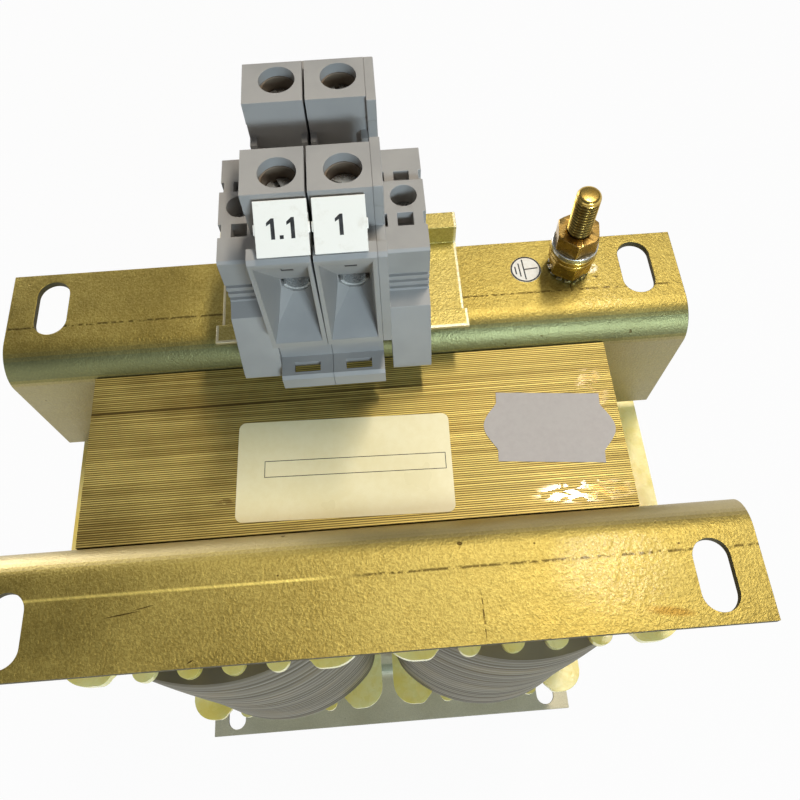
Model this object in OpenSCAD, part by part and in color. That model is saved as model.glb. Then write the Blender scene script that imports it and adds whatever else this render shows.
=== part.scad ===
// Line reactor: two coils on a laminated core, clamped by four angle brackets,
// with a terminal row and an earth stud on the rear top bracket.
// X runs along the brackets, the front is towards -Y, and the feet stand on Z = 0.

/* [Core] */
// Width of a core leg and of both yokes
leg_w = 44; // [36:1:60]
// Thickness of the lamination stack
stack_t = 44; // [36:1:70]
// Width of the core window
window_w = 44; // [36:1:60]
// Height of the core window
window_h = 153; // [100:1:180]
// Thickness of the air gap spacers
gap_t = 1.5; // [0.5:0.1:3]

/* [Brackets] */
// Length of an angle bracket
bracket_len = 176; // [160:1:240]
// How far the upright stops short of the coils
upright_gap = 4.5; // [2:0.5:12]
// Depth of the flange from the core face
bracket_d = 29; // [28:1:50]
// Sheet thickness
sheet_t = 2; // [1.5:0.5:3]
// Outside radius of the bend
bend_r = 9; // [5:1:9]
// How far the flange stands proud of the yoke
flange_rise = 6.5; // [3:0.5:8]
// Slot centre from the end of the bracket
slot_inset = 11; // [9:1:20]
// Land between a slot and the flange edge
slot_edge = 2.5; // [1.5:0.5:4]
// Slot width
slot_w = 8.4; // [6:0.1:10]
// Slot length over its round ends
slot_len = 16; // [12:0.5:17]

/* [Core bolts] */
// Diameter of the core bolts
bolt_d = 6; // [5:1:8]
// Radial clearance of the bolts in core and brackets
bolt_clear = 0.3; // [0.2:0.1:0.5]
// Width across flats of heads and nuts
hex_af = 10; // [8:1:13]
// Height of a bolt head
head_h = 4; // [3:0.5:6]
// Height of a nut
nut_h = 5; // [4:0.5:7]
// Outside diameter of a washer
washer_d = 12; // [10:1:16]
// Thickness of a washer
washer_t = 1.6; // [1:0.1:2]
// Thread length past a nut
bolt_spare = 3; // [1:1:6]

/* [Coils] */
// Gap between the two coil formers
coil_gap = 5; // [3:0.5:8]
// Clearance between core and former
former_clear = 0.3; // [0.2:0.1:0.6]
// Wall of the former's tube
former_wall = 2; // [1.5:0.5:3]
// Thickness of a former flange
former_flange_t = 3; // [2:0.5:5]
// Reach of a former flange past the core face
flange_reach = 25; // [22:1:29]
// Corner radius of a former flange
flange_r = 9; // [6:1:10]
// Pitch of the fingers along the flange edge
finger_pitch = 12; // [10:0.5:14]
// Width of a finger
finger_w = 6.4; // [5:0.2:8]
// Length of a finger
finger_len = 8; // [5:0.5:10]
// Reach of the winding past the core face
winding_build = 27.5; // [22:0.5:28]
// Distance of the winding's sides from the former's edge
winding_inset = 1.5; // [1:0.5:4]
// Height of one turn
turn_pitch = 5; // [4:0.5:8]
// Depth of the groove between turns
turn_groove = 0.6; // [0.3:0.1:1]
// Height of the groove between turns
groove_h = 1; // [0.6:0.2:1.6]

/* [Rail] */
// Overall width of the top-hat rail
rail_w = 35; // [32:1:36]
// Height of the rail
rail_h = 7.5; // [7.5:0.5:15]
// Sheet thickness of the rail
rail_t = 1; // [0.8:0.1:1.5]
// Width of the rail's foot
rail_foot = 27; // [25:1:28]
// Length of the rail
rail_len = 62; // [58:1:80]
// Left end of the rail
rail_x = -32; // [-36:1:-28]
// Rail centre line from the rear core face
rail_out = 17.4; // [17:0.2:20]
// Clearance of the hooks round the rail's lips
hook_clear = 0.2; // [0.1:0.1:0.4]
// Reach of a hook under the rail's lip
hook_nose = 1.8; // [1:0.2:2.4]
// Height of a hook's lead-in slope
hook_slope = 3.1; // [2:0.1:4]
// Thickness of a hook's lower end
hook_tip = 3.3; // [2:0.1:4]
// Space over the rail's channel
channel_gap = 2.5; // [1:0.5:4]

/* [Terminals] */
// Left face of the terminal row
row_x = -25.5; // [-27:0.5:-22]
// Gap between neighbours in the row
row_gap = 0.1; // [0.1:0.1:0.3]
// Width of a terminal
term_w = 12.3; // [11:0.1:14]
// Height of a terminal above the rail
term_h = 52.5; // [50:0.5:56]
// Floor of the valley between the towers
valley_z = 36.5; // [35:0.5:42]
// Height of the lip round a tower's top
lip_h = 5.5; // [3:0.5:7]
// Step under that lip
lip_step = 0.5; // [0.3:0.1:0.6]
// Top of the entry block
entry_top = 44.7; // [44:0.1:46]
// Lower edge of the entry block
entry_low = 12; // [10:0.5:14]
// Flare of the entry block over the neck
entry_flare = 5; // [4:0.5:6]
// Thickness of the entry block's top edge
entry_edge = 3.4; // [2:0.2:4]
// Frame round a wire entry
entry_frame = 1; // [0.8:0.1:1.5]
// Sill under a wire entry
entry_sill = 2; // [1.5:0.5:3]
// Chamfer on the entry block
entry_chamfer = 0.8; // [0.4:0.1:1.2]
// Depth of the pocket behind the entry block
pocket_deep = 4.2; // [3:0.2:5]
// Wall of the neck over the hooks
neck_wall = 4.2; // [3.4:0.1:5]
// Reach of the foot tab past the neck
foot_reach = 5.9; // [5:0.1:7]
// Top of the foot tab
foot_top = -1.5; // [-2.5:0.5:0]
// Lowest edge of the foot tab
foot_low = -6.6; // [-7:0.1:-6]
// Wall of the foot tab
foot_wall = 1.6; // [1.2:0.1:2]
// Length of the slot in the foot tab
foot_slot_w = 6.2; // [4:0.2:8]
// Depth of the slot in the foot tab
foot_slot_d = 2.6; // [2:0.1:3]
// Width of a post in the valley
post_w = 1.4; // [1:0.1:2]
// Depth of a post from the tower
post_d = 2; // [1:0.1:2.5]
// Height of a post over the valley's floor
post_h = 6.5; // [4:0.5:8]
// Side wall of a housing
side_wall = 1.2; // [0.8:0.1:1.5]
// Thickness of the end cover
cover_t = 2; // [1.5:0.1:2.5]
// How far the end cover stands into the valley
cover_rim = 1.2; // [0.5:0.1:2]
// Lower edge of the end cover above the rail
cover_low = 1; // [0.5:0.5:3]
// Width of a marker tag
tag_w = 10; // [8:0.5:11]
// Thickness of a marker tag
tag_t = 1; // [0.8:0.1:1.4]
// Thickness of a marker tag's peg
tag_peg = 2.4; // [1.5:0.1:3]
// Gap between a marker tag and the housing
tag_gap = 0.3; // [0.2:0.1:0.5]
// Drop of a marker tag's head below the tower's top
tag_drop = 1.7; // [1:0.1:3]
// Length of the break-off nibs on a tag's sides
nib_len = 2; // [1:0.1:3]
// Place of the nibs up a tag, as a share of its length
nib_place = 0.4; // [0.2:0.05:0.6]

/* [Clamps] */
// Screw axis from the rail's centre
screw_out = 12.1; // [11.5:0.1:13]
// Radius of a screw hole
screw_hole_r = 3.7; // [3.4:0.1:4]
// Height of the wire's centre above the rail
wire_z = 23; // [22:0.5:26]
// Width of the wire throat
throat_w = 6.8; // [6:0.1:7.2]
// Height of the wire throat
throat_h = 5.2; // [4.6:0.1:6]
// Width of the throat's floor
throat_floor = 2.4; // [1.6:0.2:3]
// Height of the slopes beside that floor
throat_slope = 2.4; // [1.5:0.1:2.5]
// Straight length of the throat's outer end
throat_len = 0.5; // [0.3:0.1:3]
// Share of the flare that its lower corner facets take
facet_share = 0.6; // [0.4:0.05:0.8]
// Width of the small slot over a wire entry
vent_w = 2.4; // [1.6:0.2:3]
// Length of that slot
vent_len = 2.2; // [1.5:0.1:2.3]
// Distance of that slot from the face
vent_in = 1; // [0.8:0.1:1.1]
// Wall over that slot
vent_wall = 2.7; // [2.4:0.1:3.2]
// Depth of a clamp cage
cage_d = 7.8; // [7:0.1:9]
// Wall of a clamp cage
cage_wall = 1.2; // [1:0.1:1.5]
// Thickness of the cage's floor
cage_floor = 2.5; // [2:0.5:3]
// Height of the cage's thread block
cage_top = 3.5; // [3:0.5:4]
// Gap between a cage and the side wall
cage_gap = 1; // [0.5:0.1:1.2]
// Gap between a cage and the next housing
cage_open = 0.5; // [0.3:0.1:0.8]
// Clearance of cages, screws and bars
cage_clear = 0.2; // [0.1:0.1:0.3]
// Space over the current bar in a cage
cage_lift = 7; // [1:0.5:8]
// Wall between a clamp chamber and the tower's outer face
tower_wall = 0.9; // [0.8:0.1:1.5]
// Wall between a clamp chamber and the valley
tower_web = 2; // [1.2:0.1:3]
// Thickness of the current bar
bar_t = 2.5; // [2:0.5:3]
// Thread radius of a clamp screw
clamp_screw_r = 2.5; // [2:0.1:2.8]
// Radial gap round a clamp screw's head
clamp_head_gap = 0.4; // [0.2:0.1:0.6]
// Head height of a clamp screw
clamp_head_h = 3.4; // [2.5:0.1:4]
// Free thread between a cage and the screw's head
clamp_travel = 2.7; // [1:0.1:3.2]
// Width of a driver slot
driver_slot = 1; // [0.8:0.1:1.2]

/* [End brackets] */
// Width of an end bracket
end_w = 9.3; // [8.5:0.1:11]
// Height of an end bracket above the rail
end_h = 29; // [27:0.5:32]
// Half length of its upper block
end_top_out = 15; // [14:0.5:16]
// Wall of its feet over the hooks
end_foot_wall = 7.1; // [6:0.1:8]
// Height of the vertical edge of its feet
end_foot_h = 2; // [1:0.5:4]
// Height of the shoulder over the feet
end_shoulder = 13; // [11:0.5:15]
// Reach of the shoulder past the upper block
end_ledge = 4; // [3:0.5:5]
// Edge chamfer of the upper block
end_chamfer = 0.6; // [0.3:0.1:1]
// Step down to the rear part of its top
end_step = 1.4; // [0.8:0.1:2]
// Pitch of the ribs on its ends
rib_pitch = 2.4; // [2:0.1:3]
// Height of the groove under each rib
rib_groove = 1.1; // [0.8:0.1:1.4]
// Depth of that groove
rib_deep = 0.8; // [0.5:0.1:1]
// Radius of its screw hole
end_hole_r = 2.95; // [2.6:0.05:3.2]
// Depth of its screw hole
end_hole_deep = 8; // [6:0.5:12]
// Thread radius of its screw
end_screw_r = 1.75; // [1.5:0.05:2]
// Head height of its screw
end_head_h = 2.2; // [1.6:0.1:3]
// Width of a marker hole
end_window = 3.5; // [3:0.1:4]
// Depth of a marker hole
end_window_deep = 4; // [3:0.5:6]
// Marker hole centre from the rail's centre
end_window_out = 6.5; // [6:0.1:8]
// Depth of a side notch beside a marker hole
end_notch = 0.7; // [0.5:0.1:1]

/* [Earth stud] */
// Earth stud from the right end of the bracket
stud_inset = 29; // [26:1:40]
// Earth stud from the edge of the flange
stud_edge = 9; // [8:0.5:12]
// Diameter of the stud
stud_d = 6; // [5:1:6]
// Length of the stud above the flange
stud_h = 29.3; // [26:0.1:34]
// Radius of the rounding at the stud's end
stud_tip = 1.2; // [0.8:0.1:1.5]
// Depth of the stud's thread where a nut holds it
thread_deep = 0.4; // [0.2:0.1:0.5]
// Start of the free thread above the upper nut
thread_start = 0.3; // [0.2:0.1:0.6]
// Outside diameter of the toothed washer
tooth_d = 11; // [10:0.5:12]
// Thickness of the toothed washer
tooth_t = 1.2; // [0.8:0.1:1.5]
// Number of teeth on the toothed washer
tooth_count = 14; // [10:1:18]
// Outside diameter of the spring washer
spring_d = 11.8; // [10:0.2:12]
// Gap in the spring washer's ring
spring_cut = 0.8; // [0.5:0.1:1.2]
// Gap between two teeth of the toothed washer
tooth_gap = 1.1; // [0.8:0.1:1.3]
// Corner chamfer of the stud's nuts
nut_chamfer = 0.6; // [0.3:0.1:1]
// Turn of the lower nut
lower_turn = 30; // [0:5:55]
// Turn of the upper nut
upper_turn = 20; // [0:5:55]

/* [Hidden] */
$fn = 64;
eps = 0.01;

core_w = 2 * leg_w + window_w;
core_h = 2 * leg_w + window_h;
core_z = flange_rise;
window_z = core_z + leg_w;
yoke_z = window_z + window_h;
total_h = core_h + 2 * flange_rise;
bracket_h = flange_rise + leg_w - upright_gap;
slot_out = bracket_d - slot_edge - slot_len / 2;
core_face = stack_t / 2;
leg_x = (leg_w + window_w) / 2;
bolt_rows = [core_z + leg_w / 2, yoke_z + leg_w / 2];
stack_grip = stack_t + 2 * sheet_t;

rail_y = core_face + rail_out;
hook_in = rail_w / 2 + hook_clear;
neck_out = hook_in + neck_wall;
entry_out = neck_out + entry_flare;
foot_out = neck_out + foot_reach;
left_term_x = row_x + end_w + row_gap;
right_term_x = left_term_x + term_w + row_gap;
cover_x = right_term_x + term_w;
right_end_x = cover_x + cover_t + row_gap;

// The origin lies midway between the front flange edge and the rear foot tabs
origin_y = (rail_y + foot_out - core_face - bracket_d) / 2;

former_h = window_h - 2 * former_clear;
former_w = leg_w + window_w - coil_gap;
former_d = stack_t + 2 * flange_reach;
tube_w = leg_w + 2 * (former_clear + former_wall);
tube_d = stack_t + 2 * (former_clear + former_wall);
winding_h = former_h - 2 * former_flange_t;
winding_r = core_face + winding_build;
winding_w = former_w - 2 * winding_inset;
turn_count = floor(winding_h / turn_pitch);
finger_pairs = floor((former_w / 2 - flange_r) / finger_pitch - 0.5);

steel_gold = [0.72, 0.60, 0.28];
iron_varnish = [0.66, 0.52, 0.20];
zinc = [0.78, 0.78, 0.76];
housing_grey = [0.66, 0.66, 0.65];
tag_white = [0.93, 0.92, 0.88];
former_yellow = [0.80, 0.74, 0.48];
film_grey = [0.58, 0.56, 0.52];
copper = [0.75, 0.50, 0.32];
paper_brown = [0.62, 0.50, 0.34];

// Puts the build frame at the part's origin
module place() {
    translate([0, -origin_y, 0]) children();
}

// Extrudes a Y-Z profile along X
module along_x(length) {
    rotate([90, 0, 90]) linear_extrude(length) children();
}

// Extrudes an X-Z profile along Y, centred
module along_y(length) {
    rotate([90, 0, 0]) linear_extrude(length, center = true) children();
}

module round_bar(r, length) {
    rotate([90, 0, 0]) cylinder(r = r, h = length, center = true);
}

module hexagon(af, height) {
    cylinder(d = af / cos(30), h = height, $fn = 6);
}

module ring(outer_d, inner_d, height) {
    difference() {
        cylinder(d = outer_d, h = height);
        translate([0, 0, -eps]) cylinder(d = inner_d, h = height + 2 * eps);
    }
}

function mirrored(half) =
    concat(half, [for (i = [len(half) - 1 : -1 : 0]) [-half[i][0], half[i][1]]]);

// Core

module bolt_holes(z) {
    for (x = [-leg_x, leg_x])
        translate([x, 0, z]) round_bar(bolt_d / 2 + bolt_clear, stack_grip + 2 * sheet_t);
}

module upper_yoke() {
    color(iron_varnish) place() difference() {
        translate([-core_w / 2, -core_face, yoke_z]) cube([core_w, stack_t, leg_w]);
        bolt_holes(bolt_rows[1]);
    }
}

module u_core() {
    leg_top = yoke_z - gap_t;
    color(iron_varnish) place() difference() {
        along_y(stack_t) difference() {
            translate([-core_w / 2, core_z]) square([core_w, leg_top - core_z]);
            translate([-window_w / 2, window_z]) square([window_w, window_h]);
        }
        bolt_holes(bolt_rows[0]);
    }
}

module gap_spacers() {
    color(paper_brown) place()
        for (x = [-leg_x, leg_x])
            translate([x - leg_w / 2, -core_face, yoke_z - gap_t]) cube([leg_w, stack_t, gap_t]);
}

// Brackets

module angle_profile() {
    translate([bend_r, -sheet_t]) square([bracket_d - bend_r, sheet_t]);
    translate([0, -bracket_h]) square([sheet_t, bracket_h - bend_r]);
    translate([bend_r, -bend_r]) intersection() {
        difference() {
            circle(bend_r);
            circle(bend_r - sheet_t);
        }
        translate([-bend_r, 0]) square(bend_r);
    }
}

module slot(width, length, height) {
    straight = length - width;
    cube([width, straight, height], center = true);
    for (y = [-straight / 2, straight / 2])
        translate([0, y, 0]) cylinder(d = width, h = height, center = true);
}

// Angle with its flange on top and its upright against the plane Y = 0
module angle_bracket() {
    difference() {
        translate([-bracket_len / 2, 0, 0]) along_x(bracket_len) angle_profile();
        for (side = [-1, 1]) {
            translate([side * (bracket_len / 2 - slot_inset), slot_out, 0])
                slot(slot_w, slot_len, 4 * sheet_t);
            translate([side * leg_x, 0, -flange_rise - leg_w / 2])
                round_bar(bolt_d / 2 + bolt_clear, 4 * sheet_t);
        }
    }
}

module at_corner(top, rear) {
    place()
        translate([0, rear ? core_face : -core_face, top ? total_h : 0])
            mirror([0, rear ? 0 : 1, 0]) mirror([0, 0, top ? 0 : 1]) children();
}

module top_rear_bracket() {
    color(steel_gold) at_corner(true, true) difference() {
        angle_bracket();
        translate([stud_x, stud_out, 0]) cylinder(d = stud_hole, h = 4 * sheet_t, center = true);
    }
}

module top_front_bracket() {
    color(steel_gold) at_corner(true, false) angle_bracket();
}

module bottom_rear_bracket() {
    color(steel_gold) at_corner(false, true) angle_bracket();
}

module bottom_front_bracket() {
    color(steel_gold) at_corner(false, false) angle_bracket();
}

// Core bolts, heads to the front

module at_bolts() {
    place() for (x = [-leg_x, leg_x], z = bolt_rows)
        translate([x, 0, z]) rotate([90, 0, 0]) children();
}

module core_bolts() {
    seat = stack_grip / 2 + washer_t;
    color(zinc) at_bolts() {
        translate([0, 0, seat]) hexagon(hex_af, head_h);
        tail = seat + nut_h + bolt_spare;
        translate([0, 0, -tail]) cylinder(d = bolt_d, h = tail + seat + eps);
    }
}

module core_washers() {
    color(zinc) at_bolts() for (z = [stack_grip / 2, -stack_grip / 2 - washer_t])
        translate([0, 0, z]) ring(washer_d, bolt_d + 2 * bolt_clear, washer_t);
}

module core_nuts() {
    color(zinc) at_bolts() translate([0, 0, -stack_grip / 2 - washer_t - nut_h]) difference() {
        hexagon(hex_af, nut_h);
        translate([0, 0, -eps]) cylinder(d = bolt_d + bolt_clear, h = nut_h + 2 * eps);
    }
}

// Coils

module finger(x, width, tip_r) {
    root = former_d / 2 - finger_len;
    translate([x - width / 2, root - eps]) square([width, finger_len - tip_r + eps]);
    translate([x, former_d / 2 - tip_r]) circle(tip_r);
}

// Broad finger at a corner, rounded on its outer side
module corner_finger() {
    inner = (finger_pairs + 0.5) * finger_pitch - finger_w / 2;
    outer = former_w / 2;
    root = former_d / 2 - finger_len - flange_r;
    tip_r = finger_w / 2;
    translate([inner, root]) square([outer - inner, former_d / 2 - root - flange_r]);
    translate([inner, root]) square([tip_r * 2, former_d / 2 - root - tip_r]);
    translate([inner + tip_r, root]) square([outer - flange_r - inner - tip_r, former_d / 2 - root]);
    translate([inner + tip_r, former_d / 2 - tip_r]) circle(tip_r);
    translate([outer - flange_r, former_d / 2 - flange_r]) circle(flange_r);
}

module former_outline() {
    square([former_w, former_d - 2 * finger_len], center = true);
    for (end = [0, 1]) mirror([0, end]) {
        for (i = [0.5 - finger_pairs : finger_pairs - 0.5])
            finger(i * finger_pitch, finger_w, finger_w / 2);
        for (side = [0, 1]) mirror([side, 0]) corner_finger();
    }
}

module coil_former() {
    difference() {
        union() {
            linear_extrude(former_flange_t) former_outline();
            translate([0, 0, former_h - former_flange_t])
                linear_extrude(former_flange_t) former_outline();
            translate([-tube_w / 2, -tube_d / 2, 0]) cube([tube_w, tube_d, former_h]);
        }
        bore_w = leg_w + 2 * former_clear;
        bore_d = stack_t + 2 * former_clear;
        translate([-bore_w / 2, -bore_d / 2, -eps]) cube([bore_w, bore_d, former_h + 2 * eps]);
    }
}

module winding_outline(inset) {
    intersection() {
        circle(winding_r - inset, $fn = 128);
        square([winding_w - 2 * inset, 2 * winding_r], center = true);
    }
}

module winding() {
    step = winding_h / turn_count;
    difference() {
        linear_extrude(winding_h) winding_outline(0);
        translate([-tube_w / 2, -tube_d / 2, -eps]) cube([tube_w, tube_d, winding_h + 2 * eps]);
        for (i = [1 : turn_count - 1])
            translate([0, 0, i * step - groove_h / 2]) linear_extrude(groove_h) difference() {
                square(4 * winding_r, center = true);
                winding_outline(turn_groove);
            }
    }
}

module left_coil_former() {
    color(former_yellow) place()
        translate([-leg_x, 0, window_z + former_clear]) coil_former();
}

module right_coil_former() {
    color(former_yellow) place()
        translate([leg_x, 0, window_z + former_clear]) coil_former();
}

module left_winding() {
    color(film_grey) place()
        translate([-leg_x, 0, window_z + former_clear + former_flange_t]) winding();
}

module right_winding() {
    color(film_grey) place()
        translate([leg_x, 0, window_z + former_clear + former_flange_t]) winding();
}

// Terminal row. Its pieces stand in a frame with Y = 0 on the rail's centre line
// and Z = 0 on top of the rail.

module on_rail(x) {
    place() translate([x, rail_y, total_h + rail_h]) children();
}

module din_rail() {
    lip = rail_w / 2;
    web = rail_foot / 2;
    color(steel_gold) on_rail(rail_x) along_x(rail_len) polygon(mirrored([
        [web, -rail_h],
        [web, -rail_t],
        [lip, -rail_t],
        [lip, 0],
        [web - rail_t, 0],
        [web - rail_t, rail_t - rail_h]
    ]));
}

// Outline under a housing: the rail seat and the hook round the rail's lip
under_in = rail_foot / 2 - rail_t - hook_clear;
hook_top = -rail_t - hook_clear;
seat_points = [
    [under_in, channel_gap],
    [under_in, 0],
    [hook_in, 0],
    [hook_in, hook_top],
    [hook_in - hook_nose, hook_top],
    [hook_in, hook_top - hook_slope]
];

chamber_d = cage_d + 2 * cage_clear;
tower_out = screw_out + chamber_d / 2 + tower_wall;
tower_in = screw_out - chamber_d / 2 - tower_web;
pocket_out = entry_out - entry_edge;
pocket_z = entry_top - pocket_deep;

// Half outline of a terminal, from the rail seat round to the valley
function terminal_half(rim) = concat(seat_points, [
    [neck_out - hook_tip, foot_low],
    [neck_out, foot_low],
    [neck_out, foot_top - foot_wall],
    [foot_out - foot_wall, foot_top - foot_wall],
    [foot_out - foot_wall, foot_low],
    [foot_out, foot_low],
    [foot_out, foot_top - foot_wall / 2],
    [foot_out - foot_wall / 2, foot_top],
    [neck_out, foot_top],
    [neck_out, entry_low - entry_flare],
    [entry_out, entry_low],
    [entry_out, entry_top - entry_chamfer],
    [entry_out - entry_chamfer, entry_top],
    [pocket_out, entry_top],
    [pocket_out, pocket_z],
    [tower_out - lip_step, pocket_z],
    [tower_out - lip_step, term_h - lip_h - lip_step],
    [tower_out, term_h - lip_h],
    [tower_out, term_h],
    [tower_in - rim, term_h],
    [tower_in - rim, term_h - lip_h],
    [tower_in - rim + lip_step, term_h - lip_h - lip_step],
    [tower_in - rim + lip_step, valley_z]
]);

cage_w = term_w - side_wall - cage_gap - cage_open;
screw_x = side_wall + cage_gap + cage_w / 2;
bar_w = cage_w - 2 * cage_wall - 2 * cage_clear;
bar_z = wire_z + throat_h / 2 + cage_clear;
cage_z = wire_z - throat_h / 2 - cage_clear - cage_floor;
cage_h = bar_z + bar_t + cage_lift + cage_top - cage_z;
chamber_top = cage_z + cage_h + clamp_travel;

// Outline of the wire throat round the wire's centre, from its left slope round
throat_points = [
    [-throat_w / 2, throat_slope - throat_h / 2],
    [-throat_floor / 2, -throat_h / 2],
    [throat_floor / 2, -throat_h / 2],
    [throat_w / 2, throat_slope - throat_h / 2],
    [throat_w / 2, throat_h / 2],
    [-throat_w / 2, throat_h / 2]
];

// Flared entry from the frame on the face down to the throat, with a facet in each lower corner
module wire_entry() {
    throat_out = tower_out + throat_len;
    face_out = entry_out + eps;
    grow = 1 + 2 * cage_clear / throat_w;
    left = entry_frame;
    right = term_w - entry_frame;
    low = entry_low + entry_sill;
    high = entry_top - entry_sill;
    face = [[left, face_out, low], [right, face_out, low], [right, face_out, high], [left, face_out, high]];
    mouth = [for (p = throat_points) [screw_x + grow * p[0], throat_out, wire_z + grow * p[1]]];
    corners = [[mouth[0][0], throat_out, mouth[1][2]], [mouth[3][0], throat_out, mouth[2][2]]];
    tips = [for (i = [0, 1]) facet_share * face[i] + (1 - facet_share) * corners[i]];
    polyhedron(concat(face, mouth, tips), [
        [0, 1, 2, 3],
        [9, 8, 7, 6, 5, 4],
        [1, 0, 10, 5, 6, 11],
        [2, 1, 11, 7, 8],
        [3, 2, 8, 9],
        [0, 3, 9, 4, 10],
        [5, 10, 4],
        [7, 11, 6]
    ]);
    translate([screw_x, throat_out + cage_clear, wire_z]) rotate([90, 0, 0])
        linear_extrude(throat_out + cage_clear - screw_out) polygon(throat_points);
    translate([screw_x - vent_w / 2, entry_out - vent_in - vent_len, wire_z])
        cube([vent_w, vent_len, entry_top - vent_wall - wire_z]);
}

module foot_slot() {
    inner = foot_out - foot_wall - foot_slot_d;
    translate([(term_w - foot_slot_w) / 2, inner, foot_low])
        cube([foot_slot_w, foot_slot_d, 2 * (foot_top - foot_low)]);
}

// Clamp chamber, open to the right, with the screw hole over it
module clamp_room() {
    translate([side_wall, screw_out - chamber_d / 2, cage_z - cage_clear])
        cube([term_w, chamber_d, chamber_top - cage_z + cage_clear]);
    translate([screw_x, screw_out, chamber_top - eps]) cylinder(r = screw_hole_r, h = term_h);
}

// Posts at both sides of the valley, against a tower
module valley_posts() {
    inner = tower_in - post_d;
    for (x = [row_gap, term_w - row_gap - post_w])
        translate([x, inner, valley_z - post_w])
            cube([post_w, tower_in + 2 * lip_step - inner, post_h + post_w]);
}

module terminal_housing() {
    bar_room = bar_w + 2 * cage_clear;
    difference() {
        union() {
            along_x(term_w) polygon(mirrored(terminal_half(0)));
            for (side = [0, 1]) mirror([0, side, 0]) valley_posts();
        }
        for (side = [0, 1]) mirror([0, side, 0]) {
            clamp_room();
            wire_entry();
            foot_slot();
        }
        translate([screw_x - bar_room / 2, -screw_out, bar_z - cage_clear / 2])
            cube([term_w, 2 * screw_out, bar_t + cage_clear]);
    }
}

module left_terminal_housing() {
    color(housing_grey) on_rail(left_term_x) terminal_housing();
}

module right_terminal_housing() {
    color(housing_grey) on_rail(right_term_x) terminal_housing();
}

module end_cover() {
    color(housing_grey) on_rail(cover_x) along_x(cover_t) intersection() {
        polygon(mirrored(terminal_half(cover_rim)));
        translate([-entry_out, channel_gap + cover_low]) square([2 * entry_out, term_h]);
    }
}

// Repeats a clamp's piece at both ends of both terminals
module at_clamps() {
    for (x = [left_term_x, right_term_x], side = [-1, 1])
        on_rail(x + screw_x) translate([0, side * screw_out, 0]) children();
}

module clamp_cages() {
    wire_room = cage_w - 2 * cage_wall;
    color(zinc) at_clamps() translate([0, 0, cage_z]) difference() {
        translate([-cage_w / 2, -cage_d / 2, 0]) cube([cage_w, cage_d, cage_h]);
        translate([-wire_room / 2, -cage_d, cage_floor])
            cube([wire_room, 2 * cage_d, cage_h - cage_floor - cage_top]);
        translate([0, 0, cage_floor]) cylinder(r = clamp_screw_r + cage_clear / 2, h = cage_h);
    }
}

module slotted_screw(r, tip_z, head_r, head_z, height) {
    difference() {
        union() {
            translate([0, 0, tip_z]) cylinder(r = r, h = head_z - tip_z + eps);
            translate([0, 0, head_z]) cylinder(r = head_r, h = height);
        }
        translate([-head_r, -driver_slot / 2, head_z + height / 2])
            cube([2 * head_r, driver_slot, height]);
    }
}

module clamp_screws() {
    color(zinc) at_clamps() slotted_screw(clamp_screw_r, bar_z + bar_t,
        screw_hole_r - clamp_head_gap, cage_z + cage_h + clamp_travel, clamp_head_h);
}

module current_bars() {
    reach = screw_out + cage_d / 2;
    color(copper) for (x = [left_term_x, right_term_x])
        on_rail(x + screw_x) translate([-bar_w / 2, -reach, bar_z]) cube([bar_w, 2 * reach, bar_t]);
}

// Marker tags lean from the entry block against the front screw tower
tag_foot = [entry_out - entry_chamfer, entry_top + tag_gap];
tag_head = [tower_out + tag_gap, term_h - tag_drop];
tag_lean = atan2(tag_head[1] - tag_foot[1], tag_foot[0] - tag_head[0]);

module tag_profile() {
    peg_out = (tower_out - lip_step + pocket_out + tag_peg) / 2;
    peg_top = tag_foot[1] + (tag_foot[0] - peg_out) * tan(tag_lean) + tag_t / 2;
    translate(tag_foot) rotate(-tag_lean) translate([-norm(tag_head - tag_foot), 0])
        square([norm(tag_head - tag_foot), tag_t]);
    translate([peg_out - tag_peg, pocket_z]) square([tag_peg, peg_top - pocket_z]);
}

// Part of a tag's plate that runs out into the nibs
module nib_profile() {
    up = nib_place * norm(tag_head - tag_foot);
    translate(tag_foot) rotate(-tag_lean) translate([-up - nib_len, tag_t / 4]) square([nib_len, tag_t / 2]);
}

module marker_tag(x) {
    nib = (term_w - tag_w) / 8;
    on_rail(x) mirror([0, 1, 0]) {
        along_x(tag_w) tag_profile();
        translate([-nib, 0, 0]) along_x(tag_w + 2 * nib) nib_profile();
    }
}

module left_marker_tag() {
    color(tag_white) marker_tag(left_term_x + term_w - tag_w);
}

module right_marker_tag() {
    color(tag_white) marker_tag(right_term_x + (term_w - tag_w) / 3);
}

// End brackets

module end_profile() {
    ledge_z = end_shoulder + end_ledge / 4;
    difference() {
        polygon(mirrored(concat(seat_points, [
            [neck_out - hook_tip, foot_low + rail_t],
            [hook_in + end_foot_wall, foot_low + rail_t],
            [hook_in + end_foot_wall, foot_low + rail_t + end_foot_h],
            [end_top_out + end_ledge, end_shoulder],
            [end_top_out, ledge_z],
            [end_top_out, end_h - end_chamfer],
            [end_top_out - end_chamfer, end_h]
        ])));
        for (side = [-1, 1], i = [1 : 3])
            translate([side * end_top_out, ledge_z + (i - 0.5) * rib_pitch])
                square([2 * rib_deep, rib_groove], center = true);
    }
}

module end_bracket() {
    difference() {
        along_x(end_w) end_profile();
        translate([-eps, end_hole_r + end_step, end_h - end_step]) cube([end_w + 2 * eps, end_h, end_h]);
        translate([end_w / 2, 0, end_h - end_hole_deep]) cylinder(r = end_hole_r, h = end_h);
        translate([end_w / 2, 0, 0]) cylinder(r = end_screw_r + cage_clear / 2, h = end_h);
        for (side = [-1, 1])
            translate([0, side * end_window_out - end_window / 2, end_h - end_window_deep]) {
                translate([(end_w - end_window) / 2, 0, 0]) cube([end_window, end_window, end_h]);
                for (x = [0, end_w]) translate([x - end_notch, 0, 0])
                    cube([2 * end_notch, end_window, end_h]);
            }
    }
}

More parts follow.
